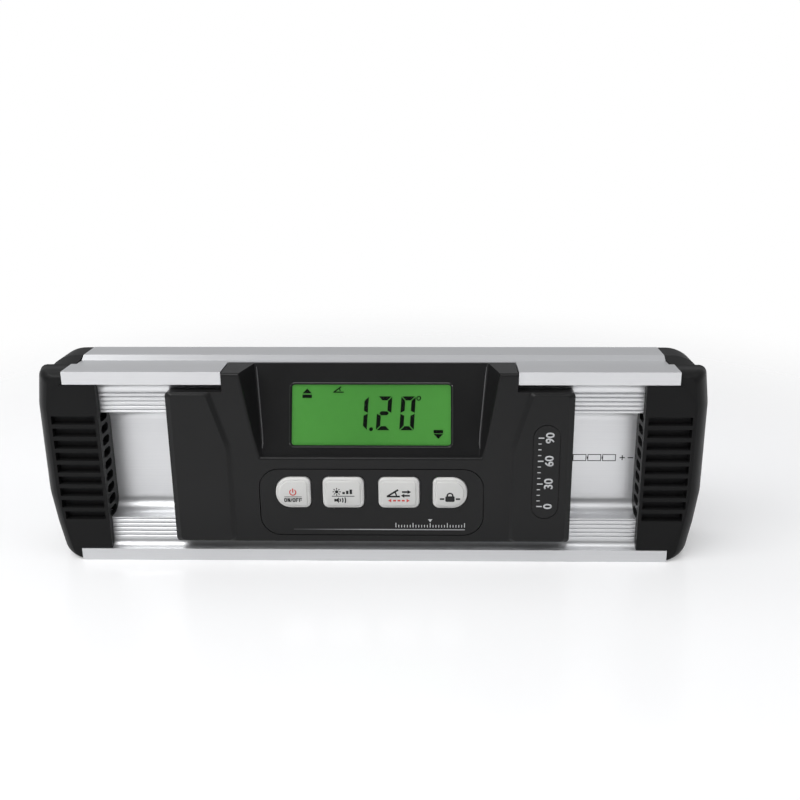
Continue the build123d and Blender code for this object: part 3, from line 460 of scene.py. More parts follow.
inkUsual = {"grainScale": 9000, "patchScale": 600, "swing": 0.05, "specular": 0.5}
inks = {
    "dark": {
        "colour": (0.010, 0.010, 0.011), "thin": (0.018, 0.018, 0.019), "roughness": 0.5, "specular": 0.3,
    },
    "red": {"colour": (0.60, 0.05, 0.04), "thin": (0.68, 0.09, 0.07), "roughness": 0.5},
    "pale": {
        "colour": (0.38, 0.385, 0.40), "thin": (0.46, 0.465, 0.48), "roughness": 0.4,
        "fade": (-28 * mm, 6 * mm), "fadeColour": (0.035, 0.035, 0.037),
    },
    "white": {"colour": (0.60, 0.61, 0.62), "thin": (0.70, 0.71, 0.72), "roughness": 0.45},
    "crystal": {
        "colour": (0.0012, 0.0045, 0.0012), "thin": (0.002, 0.007, 0.002), "roughness": 0.5,
        "specular": 0.03,
    },
}


def inkFinish(name, ownLook):
    # printed ink: slightly uneven cover, and one ink fades in along X
    look = {**inkUsual, **ownLook}
    finish, tree, shader = newFinish(name)
    cover = effect(tree, "grain", Scale=look["grainScale"], Patch_Scale=look["patchScale"])
    colour = blendColour(tree, cover["Patch"], look["colour"], look["thin"])
    if "fade" in look:
        along = ramp(tree, axes(tree)["X"], *look["fade"])
        colour = blendColour(tree, along, look["fadeColour"], colour)
    tree.links.new(colour, shader.inputs["Base Color"])
    tree.links.new(unevenRoughness(tree, cover["Patch"], look), shader.inputs["Roughness"])
    shader.inputs["Specular IOR Level"].default_value = look["specular"]
    return finish


finishes = {
    "anodised_aluminium": metalFinish("anodisedAluminium", aluminiumLook),
    "cap_plastic": mouldedFinish("capPlastic", capLook),
    "module_plastic": mouldedFinish("modulePlastic", moduleLook),
    "key_rubber": mouldedFinish("keyRubber", keyLook),
    "clear_window": windowFinish(),
    "display_glass": displayFinish(),
    "light_guide": mouldedFinish("lightGuide", lightGuideLook),
    "inner_plastic": mouldedFinish("innerPlastic", innerLook),
    "circuit_board": boardFinish(),
    "chip_black": mouldedFinish("chipBlack", chipLook),
    "inlay_film": mouldedFinish("inlayFilm", inlayLook),
    "foam_seal": mouldedFinish("foamSeal", foamLook),
    "zinc_steel": metalFinish("zincSteel", zincLook),
    "plated_magnet": metalFinish("platedMagnet", magnetLook),
    "cell_sleeve": mouldedFinish("cellSleeve", sleeveLook),
    "contact_brass": metalFinish("contactBrass", brassLook),
}
slotBackPaintedLightFinish = mouldedFinish("slotBack", slotBackPaintedLightLook)
seamHighlightFinish = mouldedFinish("seamPaintedHighlight", seamHighlightLook)
rimHighlightFinish = mouldedFinish("rimPaintedHighlight", rimHighlightLook)
inkOf = {name: inkFinish(name + "Ink", look) for name, look in inks.items()}


def dressNodes():
    # every CAD node takes the finish of its slot in the record
    for row in frame["record"]["subparts"]:
        slots = frame["nodes"][row["node"]].data.materials
        slots.clear()
        slots.append(finishes[row["material_slot"]])


dressNodes()
print("finishes set:", len(finishes), "slots")


# flat printed marks, drawn in millimetres in their own plane and then laid on a side

inkThickness = 0.03


def thicken(piece):
    editing(piece)
    bpy.ops.mesh.select_all(action="SELECT")
    bpy.ops.mesh.extrude_region_move(TRANSFORM_OT_translate={"value": (0, 0, inkThickness)})
    closeShape()
    return piece


def plate(width, height, x=0, y=0, turn=0.0):
    # a flat rectangle around its middle
    clearSelection()
    bpy.ops.mesh.primitive_plane_add(size=1, location=(x, y, 0), rotation=(0, 0, turn))
    piece = bpy.context.object
    piece.scale = (width, height, 1)
    bpy.ops.object.transform_apply(location=True, rotation=True, scale=True)
    return piece


def bar(x, y, width, height, corner=0.0, turn=0.0):
    # a thick plate, whose corners may be clipped
    piece = plate(width, height, x, y, turn)
    if corner:
        editing(piece)
        bpy.ops.mesh.select_all(action="SELECT")
        bpy.ops.mesh.bevel(offset=corner, segments=1, affect="VERTICES")
        doneEditing()
    return thicken(piece)


def roundPlate(x, y, radius, sides, turn=0.0, height=1.0):
    # a flat disc or polygon around its middle
    clearSelection()
    bpy.ops.mesh.primitive_circle_add(
        vertices=sides, radius=radius, fill_type="NGON", location=(x, y, 0), rotation=(0, 0, turn)
    )
    piece = bpy.context.object
    piece.scale = (1, height, 1)
    bpy.ops.object.transform_apply(location=True, rotation=True, scale=True)
    return piece


def disc(x, y, radius, sides=24, turn=0.0, height=1.0):
    return thicken(roundPlate(x, y, radius, sides, turn, height))


def ring(x, y, radius, width, sides=32, start=0.0, end=tau):
    # a ring, or the part of it between two angles counted from +X
    piece = roundPlate(x, y, radius, sides)
    editing(piece)
    bpy.ops.mesh.select_all(action="SELECT")
    bpy.ops.mesh.inset(thickness=width)
    bpy.ops.mesh.delete(type="FACE")
    shape = bmesh.from_edit_mesh(piece.data)
    for face in shape.faces:
        middle = face.calc_center_median()
        angle = math.atan2(middle.y - y, middle.x - x) % tau
        face.select_set(not start <= angle <= end)
    bmesh.update_edit_mesh(piece.data)
    if any(face.select for face in shape.faces):
        bpy.ops.mesh.delete(type="FACE")
    doneEditing()
    return thicken(piece)


def arrow(x, y, width, height, turn=0.0):
    # a flat triangle around the middle of its box, which points up before it is turned
    radius = width / math.sqrt(3)
    share = height / (1.5 * radius)
    drop = height / 6
    x += drop * math.sin(turn)
    y -= drop * math.cos(turn)
    return disc(x, y, radius, sides=3, turn=turn, height=share)


def figures(text, x, y, width, weight, turn):
    # bold figures that fill this width, turned about their middle
    clearSelection()
    bpy.ops.object.text_add(location=(0, 0, 0))
    piece = bpy.context.object
    piece.data.body = text
    piece.data.align_x = "CENTER"
    piece.data.align_y = "CENTER"
    piece.data.offset = weight
    bpy.ops.object.convert(target="MESH")
    size = width / piece.dimensions.x
    piece.scale = (size, size, 1)
    piece.rotation_euler = (0, 0, turn)
    piece.location = (x, y, 0)
    bpy.ops.object.transform_apply(location=True, rotation=True, scale=True)
    return thicken(piece)


def angleSign(look):
    # two legs of an angle, with an arc between them
    foot = bar(*look["foot"], look["footLength"], look["stroke"])
    leg = bar(*look["leg"], look["legLength"], look["stroke"], turn=look["slope"])
    arc = ring(*look["corner"], look["radius"], look["arcStroke"], look["sides"], *look["arc"])
    return [foot, leg, arc]


def layMarks(pieces, name, middle, finish, body="level", normal=forwards, lean=0.0):
    # joins marks, leans them like slanted digits, and lays them on a side of the object
    marks = joined(pieces, name)
    slant = Matrix.Identity(4)
    slant[0][1] = math.tan(lean)
    marks.data.transform(facingPlace(middle, normal) @ Matrix.Scale(mm, 4) @ slant)
    marks.data.materials.clear()
    marks.data.materials.append(finish)
    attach(marks, body)


# reading on the display

readingLook = {
    "height": 11.75, "width": 5.0, "stroke": 1.42, "gap": 0.14, "tip": 0.46, "lean": math.radians(3.5),
    "middle": 0.6, "pitch": 8.15, "lastDigit": 12.5, "digits": "120",
    "dot": (0.2, -4.9, 0.68), "degree": (16.05, 5.8, 0.85, 0.42), "degreeSides": 20,
    "upIcon": (-22.4, 8.3, 6.45), "downIcon": (23.2, -7.4, -5.75),  # x, then y of head and bar
    "iconWidth": 3.3, "iconHead": 1.7, "iconBar": 1.2,
}
displayAngle = {
    "foot": (-11.5, 7.9), "footLength": 3.6, "leg": (-11.85, 8.85), "legLength": 3.2, "stroke": 0.45,
    "slope": math.radians(36), "corner": (-13.2, 7.9), "radius": 2.5, "arcStroke": 0.4, "sides": 40,
    "arc": (0.1, 0.62),
}
segmentsOf = {"1": "bc", "2": "abged", "0": "abcdef"}


def mitred(x, y, width, height, shifts):
    # a bar whose corners, lower left and right, then upper left and right, are drawn in
    piece = plate(width, height, x, y)
    for index, shift in enumerate(shifts):
        pickCorners(piece, lambda vert: vert.index == index)
        bpy.ops.transform.translate(value=(*shift, 0))
        doneEditing()
    return thicken(piece)


def digit(figure, x, y, look):
    # one seven-segment figure around its middle, with mitred ends
    stroke, gap = look["stroke"], look["gap"]
    half, side = look["height"] / 2, look["width"] / 2
    pieces = []
    for name in segmentsOf[figure]:
        if name == "g":
            pieces.append(bar(x, y, look["width"] - stroke - 2 * gap, stroke, corner=look["tip"] * stroke))
        elif name in "ad":
            up = 1 if name == "a" else -1
            inner = [(stroke, 0), (-stroke, 0)]
            shifts = inner + [(0, 0)] * 2 if up > 0 else [(0, 0)] * 2 + inner
            pieces.append(mitred(x, y + up * (half - stroke / 2), look["width"] - 4 * gap, stroke, shifts))
        else:
            right = name in "bc"
            up = name in "fb"
            towardsMiddle, towardsEnd = (0, stroke / 2), (0, -stroke)
            if not up:
                towardsMiddle, towardsEnd = (0, stroke), (0, -stroke / 2)
            inner = 0 if right else 1
            shifts = [(0, 0)] * 4
            shifts[inner], shifts[inner + 2] = towardsMiddle, towardsEnd
            dx = (side - stroke / 2) * (1 if right else -1)
            dy = half / 2 * (1 if up else -1)
            pieces.append(mitred(x + dx, y + dy, stroke, half - 2 * gap, shifts))
    return pieces


def arrowIcon(x, headY, barY, turn, look):
    # a bar with a flat arrow head on its outer side
    head = arrow(x, headY, look["iconWidth"], look["iconHead"], turn)
    return [head, bar(x, barY, look["iconWidth"], look["iconBar"])]


def displayReading():
    look = readingLook
    middle, normal = flatSide("lcd_window", forwards)
    glass, _ = flatSide("lcd_panel", forwards)
    middle = middle + normal * (glass - middle).dot(normal)
    pieces = []
    for index, figure in enumerate(look["digits"]):
        x = look["lastDigit"] - (len(look["digits"]) - 1 - index) * look["pitch"]
        pieces += digit(figure, x, look["middle"], look)
    pieces.append(disc(*look["dot"]))
    pieces.append(ring(*look["degree"], sides=look["degreeSides"]))
    crystal = inkOf["crystal"]
    lean = look["lean"]
    layMarks(pieces, "displayDigits", middle, crystal, normal=normal, lean=lean)
    icons = arrowIcon(*look["upIcon"], 0.0, look) + arrowIcon(*look["downIcon"], math.pi, look)
    icons += angleSign(displayAngle)
    layMarks(icons, "displayIcons", middle, crystal, normal=normal)


displayReading()
print("display reading drawn")


# seams where the tilted floor meets the cheeks, and the rim of the window, both coloured lighter than the
# housing as painted highlights

seamShape = {
    "radius": 0.27 * mm, "sides": 10, "taper": 0.5, "steps": 9, "from": 0.03, "length": 0.93,
    "bend": 0.2, "out": 1.2 * mm, "cornerReach": 1 * mm,
}
rimShape = {
    "line": 0.32, "corner": 1.8, "cornerSteps": 6, "rise": 0.2, "innerShare": 0.75, "reach": (30, 13.5),
}


def displayFloor(alike=0.999, flat=0.02 * mm):
    # the display's outward normal, the floor's corners in the housing, and its level along the normal
    mesh = frame["nodes"]["display_housing"].data
    _, normal = flatSide("lcd_window", forwards)
    mesh.calc_loop_triangles()
    looking = [t for t in mesh.loop_triangles if Vector(t.normal).dot(normal) > alike]
    largest = max(looking, key=lambda t: t.area)
    level = mesh.vertices[largest.vertices[0]].co.dot(normal)
    corners = [mesh.vertices[v].co.copy() for t in looking for v in t.vertices]
    return normal, [c for c in corners if abs(c.dot(normal) - level) < flat], level


def bead(points, name):
    # a round bead drawn along these points, thinner at its ends
    look = seamShape
    clearSelection()
    turn = (points[1] - points[0]).to_track_quat("Z", "Y").to_euler()
    bpy.ops.mesh.primitive_circle_add(
        vertices=look["sides"], radius=look["radius"] * look["taper"], fill_type="NGON",
        location=points[0], rotation=turn,
    )
    piece = bpy.context.object
    bpy.ops.object.transform_apply(location=True, rotation=True, scale=True)
    editing(piece)
    bpy.ops.mesh.select_all(action="SELECT")
    sizes = {1: 1 / look["taper"], len(points) - 1: look["taper"]}
    for index in range(1, len(points)):
        step = points[index] - points[index - 1]
        bpy.ops.mesh.extrude_region_move(TRANSFORM_OT_translate={"value": step})
        if index in sizes:
            bpy.ops.transform.resize(value=[sizes[index]] * 3, center_override=points[index])
    closeShape()
    bpy.ops.object.shade_smooth_by_angle(angle=smoothAngle)
    return joined([piece], name)


def floorSeams():
    look = seamShape
    corners = displayFloor()[1]
    for side, name in ((-1, "floorSeamLeft"), (1, "floorSeamRight")):
        outer = sorted((c for c in corners if c.x * side > 0), key=lambda c: c.z)
        footRow = [c for c in outer if c.z < outer[0].z + look["cornerReach"]]
        topRow = [c for c in outer if c.z > outer[-1].z - look["cornerReach"]]
        foot, top = [max(row, key=lambda c: c.x * side) for row in (footRow, topRow)]
        points = []
        for index in range(look["steps"] + 1):
            share = look["from"] + look["length"] * index / look["steps"]
            bend = max(0.0, 1 - share / look["bend"]) ** 2
            points.append(foot.lerp(top, share) + Vector((side * bend * look["out"], 0, 0)))
        piece = bead(points, name)
        # the bead takes a painted highlight colour
        piece.data.materials.append(seamHighlightFinish)
        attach(piece, "level")


def windowFrame():
    # thin rim around the bevelled opening, slanted inwards so that it catches the lamps' light, and tinted
    # a lighter green as painted light from the display
    look = rimShape
    normal, corners, level = displayFloor()
    middle, _ = flatSide("lcd_window", forwards)
    middle += normal * (level - middle.dot(normal))
    right = Vector((1, 0, 0))
    up = normal.cross(right)
    spots = [((c - middle).x / mm, (c - middle).dot(up) / mm) for c in corners]
    spots = [s for s in spots if abs(s[0]) < look["reach"][0] and abs(s[1]) < look["reach"][1]]
    low = [min(spot[i] for spot in spots) for i in range(2)]
    high = [max(spot[i] for spot in spots) for i in range(2)]
    width, height = high[0] - low[0], high[1] - low[1]
    piece = plate(width, height)
    editing(piece)
    bpy.ops.mesh.select_all(action="SELECT")
    bpy.ops.mesh.bevel(offset=look["corner"], segments=look["cornerSteps"], affect="VERTICES")
    bpy.ops.mesh.select_all(action="SELECT")
    bpy.ops.mesh.inset(thickness=look["line"])
    bpy.ops.mesh.delete(type="FACE")
    doneEditing()
    thicken(piece)
    inset = look["line"] * look["innerShare"]

    def onOuterEdge(vert):
        inside = abs(vert.co.x) < width / 2 - inset and abs(vert.co.y) < height / 2 - inset
        return vert.co.z > inkThickness / 2 and not inside

    pickCorners(piece, onOuterEdge)
    bpy.ops.transform.translate(value=(0, 0, look["rise"]))
    doneEditing()
    centre = middle + right * (low[0] + high[0]) / 2 * mm + up * (low[1] + high[1]) / 2 * mm
    layMarks([piece], "windowRim", centre, rimHighlightFinish, normal=normal)


floorSeams()
windowFrame()
print("seams and window rim modelled")


# plain back walls a little way into the grip slots of the caps, coloured lighter than the cap plastic as
# painted light inside the slots

slotLook = {"deep": 8.0, "shown": 2.8, "pitch": 4.44, "lap": 0.04}


def slotBacks(cap, name):
    # one wall for each slot, as wide as the slot's end in the cap
    look = slotLook
    grip, normal = flatSide(cap, forwards)
    mesh = frame["nodes"][cap].data
    ends = {}
    for triangle in mesh.loop_triangles:
        corners = [mesh.vertices[v].co / mm for v in triangle.vertices]
        if all(abs(c.y - grip.y / mm - look["deep"]) < look["lap"] for c in corners):
            row = round((sum(c.z for c in corners) / 3 - grip.z / mm) / look["pitch"])
            ends.setdefault(row, []).extend(corners)
    walls = []
    for corners in ends.values():
        left, foot = [min(c[axis] for c in corners) - look["lap"] for axis in (0, 2)]
        right, top = [max(c[axis] for c in corners) + look["lap"] for axis in (0, 2)]
        walls.append(bar((left + right) / 2, (foot + top) / 2, right - left, top - foot))
    level = Vector((0, grip.y + look["shown"] * mm, 0))
    layMarks(walls, name, level, slotBackPaintedLightFinish, normal=normal)


slotBacks("end_cap_left", "slotBacksLeft")
slotBacks("end_cap_right", "slotBacksRight")
print("grip slots finished")


# raised pads of the keys

padLook = {
    "inset": 1.15, "rise": 0.42, "edge": 0.16, "edgeSteps": 2, "draft": 0.97, "frontDepth": 1.2,
    "round": 4.05, "corner": 1.05, "cornerSteps": 8, "near": 0.01,
    "corners": {  # left and right
        "power": ("round", "corner"), "light": ("corner", "corner"),
        "mode": ("corner", "corner"), "hold": ("corner", "round"),
    },
}


def keyFront(key):
    # middle of the key's front, and its width and height in millimetres
    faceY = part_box("key_" + key)[0].y
    shape = frame["nodes"]["key_" + key].data.vertices
    front = [v.co for v in shape if v.co.y < faceY + padLook["frontDepth"] * mm]
    sides = [min(c.x for c in front), max(c.x for c in front)]
    heights = [min(c.z for c in front), max(c.z for c in front)]
    middle = Vector((sum(sides) / 2, faceY, sum(heights) / 2))
    return middle, (sides[1] - sides[0]) / mm, (heights[1] - heights[0]) / mm


def keyPad(key):
    # a pillow that stands a little proud inside the key's rounded shoulder
    look = padLook
    middle, width, height = keyFront(key)
    piece = plate(width - 2 * look["inset"], height - 2 * look["inset"])
    for side, kind in zip((-1, 1), look["corners"][key]):
        reach = max(vert.co.x * side for vert in piece.data.vertices)
        pickCorners(piece, lambda vert: vert.co.x * side > reach - look["near"])
        bpy.ops.mesh.bevel(offset=look[kind], segments=look["cornerSteps"], affect="VERTICES")
        doneEditing()
    editing(piece)
    bpy.ops.mesh.select_all(action="SELECT")
    bpy.ops.mesh.extrude_region_move(TRANSFORM_OT_translate={"value": (0, 0, look["rise"])})
    draft = (look["draft"], look["draft"], 1)
    bpy.ops.transform.resize(value=draft, center_override=(0, 0, look["rise"]))
    bpy.ops.mesh.bevel(offset=look["edge"], segments=look["edgeSteps"], affect="EDGES")
    closeShape()
    bpy.ops.object.shade_smooth_by_angle(angle=smoothAngle)
    rubber = finishes["key_rubber"]
    layMarks([piece], key + "Pad", middle, rubber, body=key + "_key")


for key in padLook["corners"]:
    keyPad(key)
print("key pads modelled")


# prints on the keys, in millimetres from the middle of each key

letterLook = {
    "width": 1.02, "height": 1.45, "stroke": 0.34, "gap": 0.12, "diagonal": 0.9,
    "slash": 0.5, "slashStroke": 0.8, "slashSlope": math.radians(72),
}


def blockLetter(letter, x, y, look):
    # one bold capital, or a slash, around its middle
    stroke = look["stroke"]
    side, rise = (look["width"] - stroke) / 2, (look["height"] - stroke) / 2
    inner = look["width"] - 2 * stroke
    if letter == "O":
        uprights = [bar(x + way * side, y, stroke, look["height"] - stroke) for way in (-1, 1)]
        return uprights + [bar(x, y + way * rise, look["width"] - stroke, stroke) for way in (-1, 1)]
    if letter == "N":
        slope = math.atan2(-look["height"], inner)
        uprights = [bar(x + way * side, y, stroke, look["height"]) for way in (-1, 1)]
        return uprights + [bar(x, y, look["height"] * look["diagonal"], stroke, turn=slope)]
    if letter == "F":
        upper = bar(x + stroke / 2, y + rise, inner + stroke, stroke)
        lower = bar(x + stroke / 2, y, inner, stroke)
        return [upper, lower, bar(x - side, y, stroke, look["height"])]
    return [bar(x, y, look["height"], stroke * look["slashStroke"], turn=look["slashSlope"])]


def blockWord(text, x, y, look):
    widths = [look["slash"] if letter == "/" else look["width"] for letter in text]
    start = x - (sum(widths) + look["gap"] * (len(text) - 1)) / 2
    pieces = []
    for index, letter in enumerate(text):
        before = sum(widths[:index]) + look["gap"] * index
        pieces += blockLetter(letter, start + before + widths[index] / 2, y, look)
    return pieces


def printOnKey(key, pieces, ink, name):
    middle = keyFront(key)[0] + forwards * padLook["rise"] * mm
    layMarks(pieces, name, middle, inkOf[ink], body=key + "_key")


powerPrint = {
    "ring": (0, 0.5, 1.25, 0.38), "open": (55, 125), "stem": (0, 1.15, 0.42, 1.5),
    "rule": (0, -1.2, 6.0, 0.18), "label": ("ON/OFF", 0, -2.4),
}


def powerSign():
    # a ring open at its top, with a stem in the gap, over ON/OFF
    look = powerPrint
    right, left = [math.radians(angle) for angle in look["open"]]
    sign = [ring(*look["ring"], start=left), bar(*look["stem"]), ring(*look["ring"], end=right)]
    printOnKey("power", sign, "red", "powerSign")
    label = [bar(*look["rule"])] + blockWord(*look["label"], letterLook)
    printOnKey("power", label, "dark", "powerWords")


lightPrint = {
    "lamp": (-2.2, 0.75), "lampRadius": 0.58, "rays": 8, "rayMiddle": 1.12, "ray": (0.6, 0.32),
    "steps": 3, "firstStep": 0.2, "stepPitch": 1.25, "stepWidth": 0.85, "stepFoot": -0.1,
    "stepHeight": 0.8, "stepGrowth": 0.45, "rule": (0, -0.9, 7.8, 0.24),
    "hornBack": (-2.75, -2.4, 0.7, 1.0), "horn": (-2.1, -2.4, 2.1, 1.2), "waveMiddle": (-2.0, -2.4),
    "waves": ((1.2, 34), (2.1, 26), (3.0, 22)),  # radius, and degrees up and down
    "waveStroke": 0.42, "waveSides": 90,
}


def lightSign():
    # a lamp with its rays and rising steps, over a horn with its waves
    look = lightPrint
    x, y = look["lamp"]
    sign = [disc(x, y, look["lampRadius"])]
    for index in range(look["rays"]):
        angle = index * tau / look["rays"]
        rayX = x + look["rayMiddle"] * math.cos(angle)
        rayY = y + look["rayMiddle"] * math.sin(angle)
        sign.append(bar(rayX, rayY, *look["ray"], turn=angle))
    for index in range(look["steps"]):
        height = look["stepHeight"] + look["stepGrowth"] * index
        stepX = look["firstStep"] + look["stepPitch"] * index
        sign.append(bar(stepX, height / 2 + look["stepFoot"], look["stepWidth"], height))
    sign += [bar(*look["rule"]), bar(*look["hornBack"]), arrow(*look["horn"], math.pi / 2)]
    for radius, reach in look["waves"]:
        wave = (*look["waveMiddle"], radius, look["waveStroke"], look["waveSides"])
        sign.append(ring(*wave, start=math.radians(360 - reach)))
        sign.append(ring(*wave, end=math.radians(reach)))
    printOnKey("light", sign, "dark", "lightSign")


modeAngle = {
    "foot": (-1.9, -0.95), "footLength": 4.6, "leg": (-2.15, 0.3), "legLength": 4.6, "stroke": 0.62,
    "slope": math.radians(33), "corner": (-4.0, -1.0), "radius": 3.4, "arcStroke": 0.5, "sides": 64,
    "arc": (0.12, 0.56),
}
modePrint = {
    "head": (1.5, 1.2), "shaft": (2.0, 0.6), "rightHead": (3.6, 0.75), "rightShaft": (2.1, 0.75),
    "leftHead": (1.3, -0.65), "leftShaft": (2.8, -0.65),
    "redLine": -2.5, "redReach": 3.2, "redHead": (1.3, 1.1), "dash": (1.0, 0.6), "dashPitch": 1.5,
}


def modeSign():
    # an angle beside two opposed arrows, over a red dashed line with two heads
    look = modePrint
    leftwards, rightwards = math.pi / 2, -math.pi / 2
    sign = angleSign(modeAngle)
    sign += [arrow(*look["rightHead"], *look["head"], rightwards), bar(*look["rightShaft"], *look["shaft"])]
    sign += [arrow(*look["leftHead"], *look["head"], leftwards), bar(*look["leftShaft"], *look["shaft"])]
    printOnKey("mode", sign, "dark", "modeSign")
    y, reach = look["redLine"], look["redReach"]
    dashed = [arrow(-reach, y, *look["redHead"], leftwards), arrow(reach, y, *look["redHead"], rightwards)]
    dashed += [bar(look["dashPitch"] * step, y, *look["dash"]) for step in (-1, 0, 1)]
    printOnKey("mode", dashed, "red", "modeArrows")


holdPrint = {
    "body": (0, -1.85, 3.2, 2.1), "bodyCorner": 0.3, "bow": (0, -0.65, 1.2, 0.5),
    "leg": (0.95, -0.7, 0.5, 0.6), "dash": (2.75, -1.85, 1.5, 0.62),  # mirrored to the left
}


def holdSign():
    # a closed padlock between two dashes
    look = holdPrint
    sign = [bar(*look["body"], corner=look["bodyCorner"]), ring(*look["bow"], end=math.pi)]
    for x, *rest in (look["leg"], look["dash"]):
        sign += [bar(side * x, *rest) for side in (-1, 1)]
    printOnKey("hold", sign, "dark", "holdSign")


powerSign()
lightSign()
modeSign()
holdSign()
print("key prints drawn")


# pale line and tick scale under the keys, the inlay's scale, and the outline of the cells on the web

stripeLook = {
    "middle": 2.5, "rise": 2.0, "length": 60.0, "line": 0.34, "ticksFrom": 8.4, "ticks": 25, "pitch": 1.0,
    "tickFoot": 0.85, "tickWidth": 0.26, "tall": 1.7, "short": 0.95, "tallEvery": 6,
    "pointerRise": 2.6, "pointer": (1.5, 1.1),
}


def keypadStripe():
    look = stripeLook
    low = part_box("keypad_bezel")[0]
    middle = Vector((0, low.y, low.z))
    line = bar(look["middle"], look["rise"], look["length"], look["line"])
    layMarks([line], "keypadStripe", middle, inkOf["pale"])
    foot = look["rise"] + look["tickFoot"]
    ticks = []
    for index in range(look["ticks"]):
        height = look["short"] if index % look["tallEvery"] else look["tall"]
        x = look["ticksFrom"] + index * look["pitch"]
        ticks.append(bar(x, foot + height / 2, look["tickWidth"], height))
    half = look["ticksFrom"] + (look["ticks"] - 1) * look["pitch"] / 2
    ticks.append(arrow(half, foot + look["pointerRise"], *look["pointer"], math.pi))
    layMarks(ticks, "keypadScale", middle, inkOf["white"])


inlayPrint = {
    "figures": ("0", "30", "60", "90"), "figuresAt": 1.2, "step": 8.4, "height": 2.7, "narrow": 0.72,
    "weight": 0.02, "tallAt": -1.9, "tall": (1.9, 0.42), "shortAt": -2.3, "short": (1.1, 0.3), "parts": 4,
}


def inlayScale():
    # plain angle figures that read upwards, with ticks between them
    look = inlayPrint
    low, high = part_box("label_inlay")
    middle = Vector(((low.x + high.x) / 2, low.y, (low.z + high.z) / 2))
    marks = []
    last = len(look["figures"]) - 1
    for index, figure in enumerate(look["figures"]):
        y = (index - last / 2) * look["step"]
        width = look["height"] * look["narrow"] * len(figure)
        marks.append(figures(figure, look["figuresAt"], y, width, look["weight"], math.pi / 2))
        marks.append(bar(look["tallAt"], y, *look["tall"]))
        if index < last:
            for part in range(1, look["parts"]):
                marks.append(bar(look["shortAt"], y + part * look["step"] / look["parts"], *look["short"]))
    layMarks(marks, "inlayScale", middle, inkOf["white"])


cellLook = {
    "count": 3, "length": 4.55, "height": 2.35, "line": 0.27, "pitch": 5.25, "first": 73.5, "rise": 0.1,
    "nub": (0.25, 0.9), "signBefore": 0.6, "signGap": 2.9, "sign": (1.9, 0.36),
}


def cellOutline():
    # three cells in a row, then a plus and a minus sign, on the web that the gasket lies on
    look = cellLook
    low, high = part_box("housing_gasket")
    middle = Vector((0, high.y, (low.z + high.z) / 2))
    y = look["rise"]
    pieces = []
    for index in range(look["count"]):
        x = look["first"] + index * look["pitch"]
        for side in (-1, 1):
            edgeY = y + side * look["height"] / 2
            pieces.append(bar(x, edgeY, look["length"] + look["line"], look["line"]))
            pieces.append(bar(x + side * look["length"] / 2, y, look["line"], look["height"]))
        pieces.append(bar(x - look["length"] / 2 - look["nub"][0], y, *look["nub"]))
    plus = look["first"] + look["count"] * look["pitch"] - look["signBefore"]
    long, thin = look["sign"]
    pieces += [bar(plus, y, long, thin), bar(plus, y, thin, long)]
    pieces.append(bar(plus + look["signGap"], y, long, thin))
    layMarks(pieces, "cellOutline", middle, inkOf["dark"])


keypadStripe()
inlayScale()
cellOutline()
print("prints on module and web drawn")


# stage: pale floor, soft light and the photograph's view

stageLook = {
    "size": 3.0, "drop": 0.05 * mm, "floor": (0.84, 0.84, 0.845), "roughness": 0.16, "specular": 0.5,
    "lift": 0.24, "inMetal": 0.43, "nearInMetal": 0.16, "nearTo": 35 * mm, "farFrom": 60 * mm,
    "fadeFrom": 0.17, "fadeTo": 0.42,
}


def layFloor():
    look = stageLook
    clearSelection()
    bpy.ops.mesh.primitive_plane_add(size=look["size"], location=(0, 0, -look["drop"]))
    floor = bpy.context.object
    floor.name = "paleFloor"
    finish, tree, shader = newFinish("paleFloor")
    shader.inputs["Base Color"].default_value = (*look["floor"], 1)
    shader.inputs["Roughness"].default_value = look["roughness"]
    shader.inputs["Specular IOR Level"].default_value = look["specular"]
    rays = tree.nodes.new("ShaderNodeLightPath").outputs
    direct = mathNode(tree, "MAXIMUM", rays["Is Camera Ray"], rays["Is Transmission Ray"])
    direct = mathNode(tree, "MULTIPLY", direct, look["lift"])
    # metal sees the floor darker close to the object, a painted shade where the object shades it
    beside = mathNode(tree, "ABSOLUTE", axes(tree)["Y"])
    clear = ramp(tree, beside, look["nearTo"], look["farFrom"])
    glow = spread(tree, clear, look["nearInMetal"], look["inMetal"])
    mirrored = mathNode(tree, "MULTIPLY", rays["Is Glossy Ray"], glow)
    shader.inputs["Emission Color"].default_value = (1, 1, 1, 1)
    tree.links.new(mathNode(tree, "MAXIMUM", direct, mirrored), shader.inputs["Emission Strength"])
    # the camera sees the floor fade into the white background
    where = tree.nodes.new("ShaderNodeTexCoord")
    away = place(tree, "ShaderNodeVectorMath", operation="LENGTH")
    tree.links.new(where.outputs["Object"], away.inputs[0])
    solid = ramp(tree, away.outputs["Value"], look["fadeTo"], look["fadeFrom"])
    unseen = mathNode(tree, "SUBTRACT", 1.0, rays["Is Camera Ray"])
    tree.links.new(mathNode(tree, "MAXIMUM", solid, unseen), shader.inputs["Alpha"])
    floor.data.materials.append(finish)


worldLook = {
    "sky": (0.42, 0.425, 0.435), "wall": (0.24, 0.242, 0.25), "dark": (0.07, 0.07, 0.072), "inMetal": 0.16,
    "skyRise": (0.1, 0.8), "darkAhead": (-0.25, -0.75), "darkTop": (0.62, 0.42), "whiteBehind": (0.1, 0.5),
}


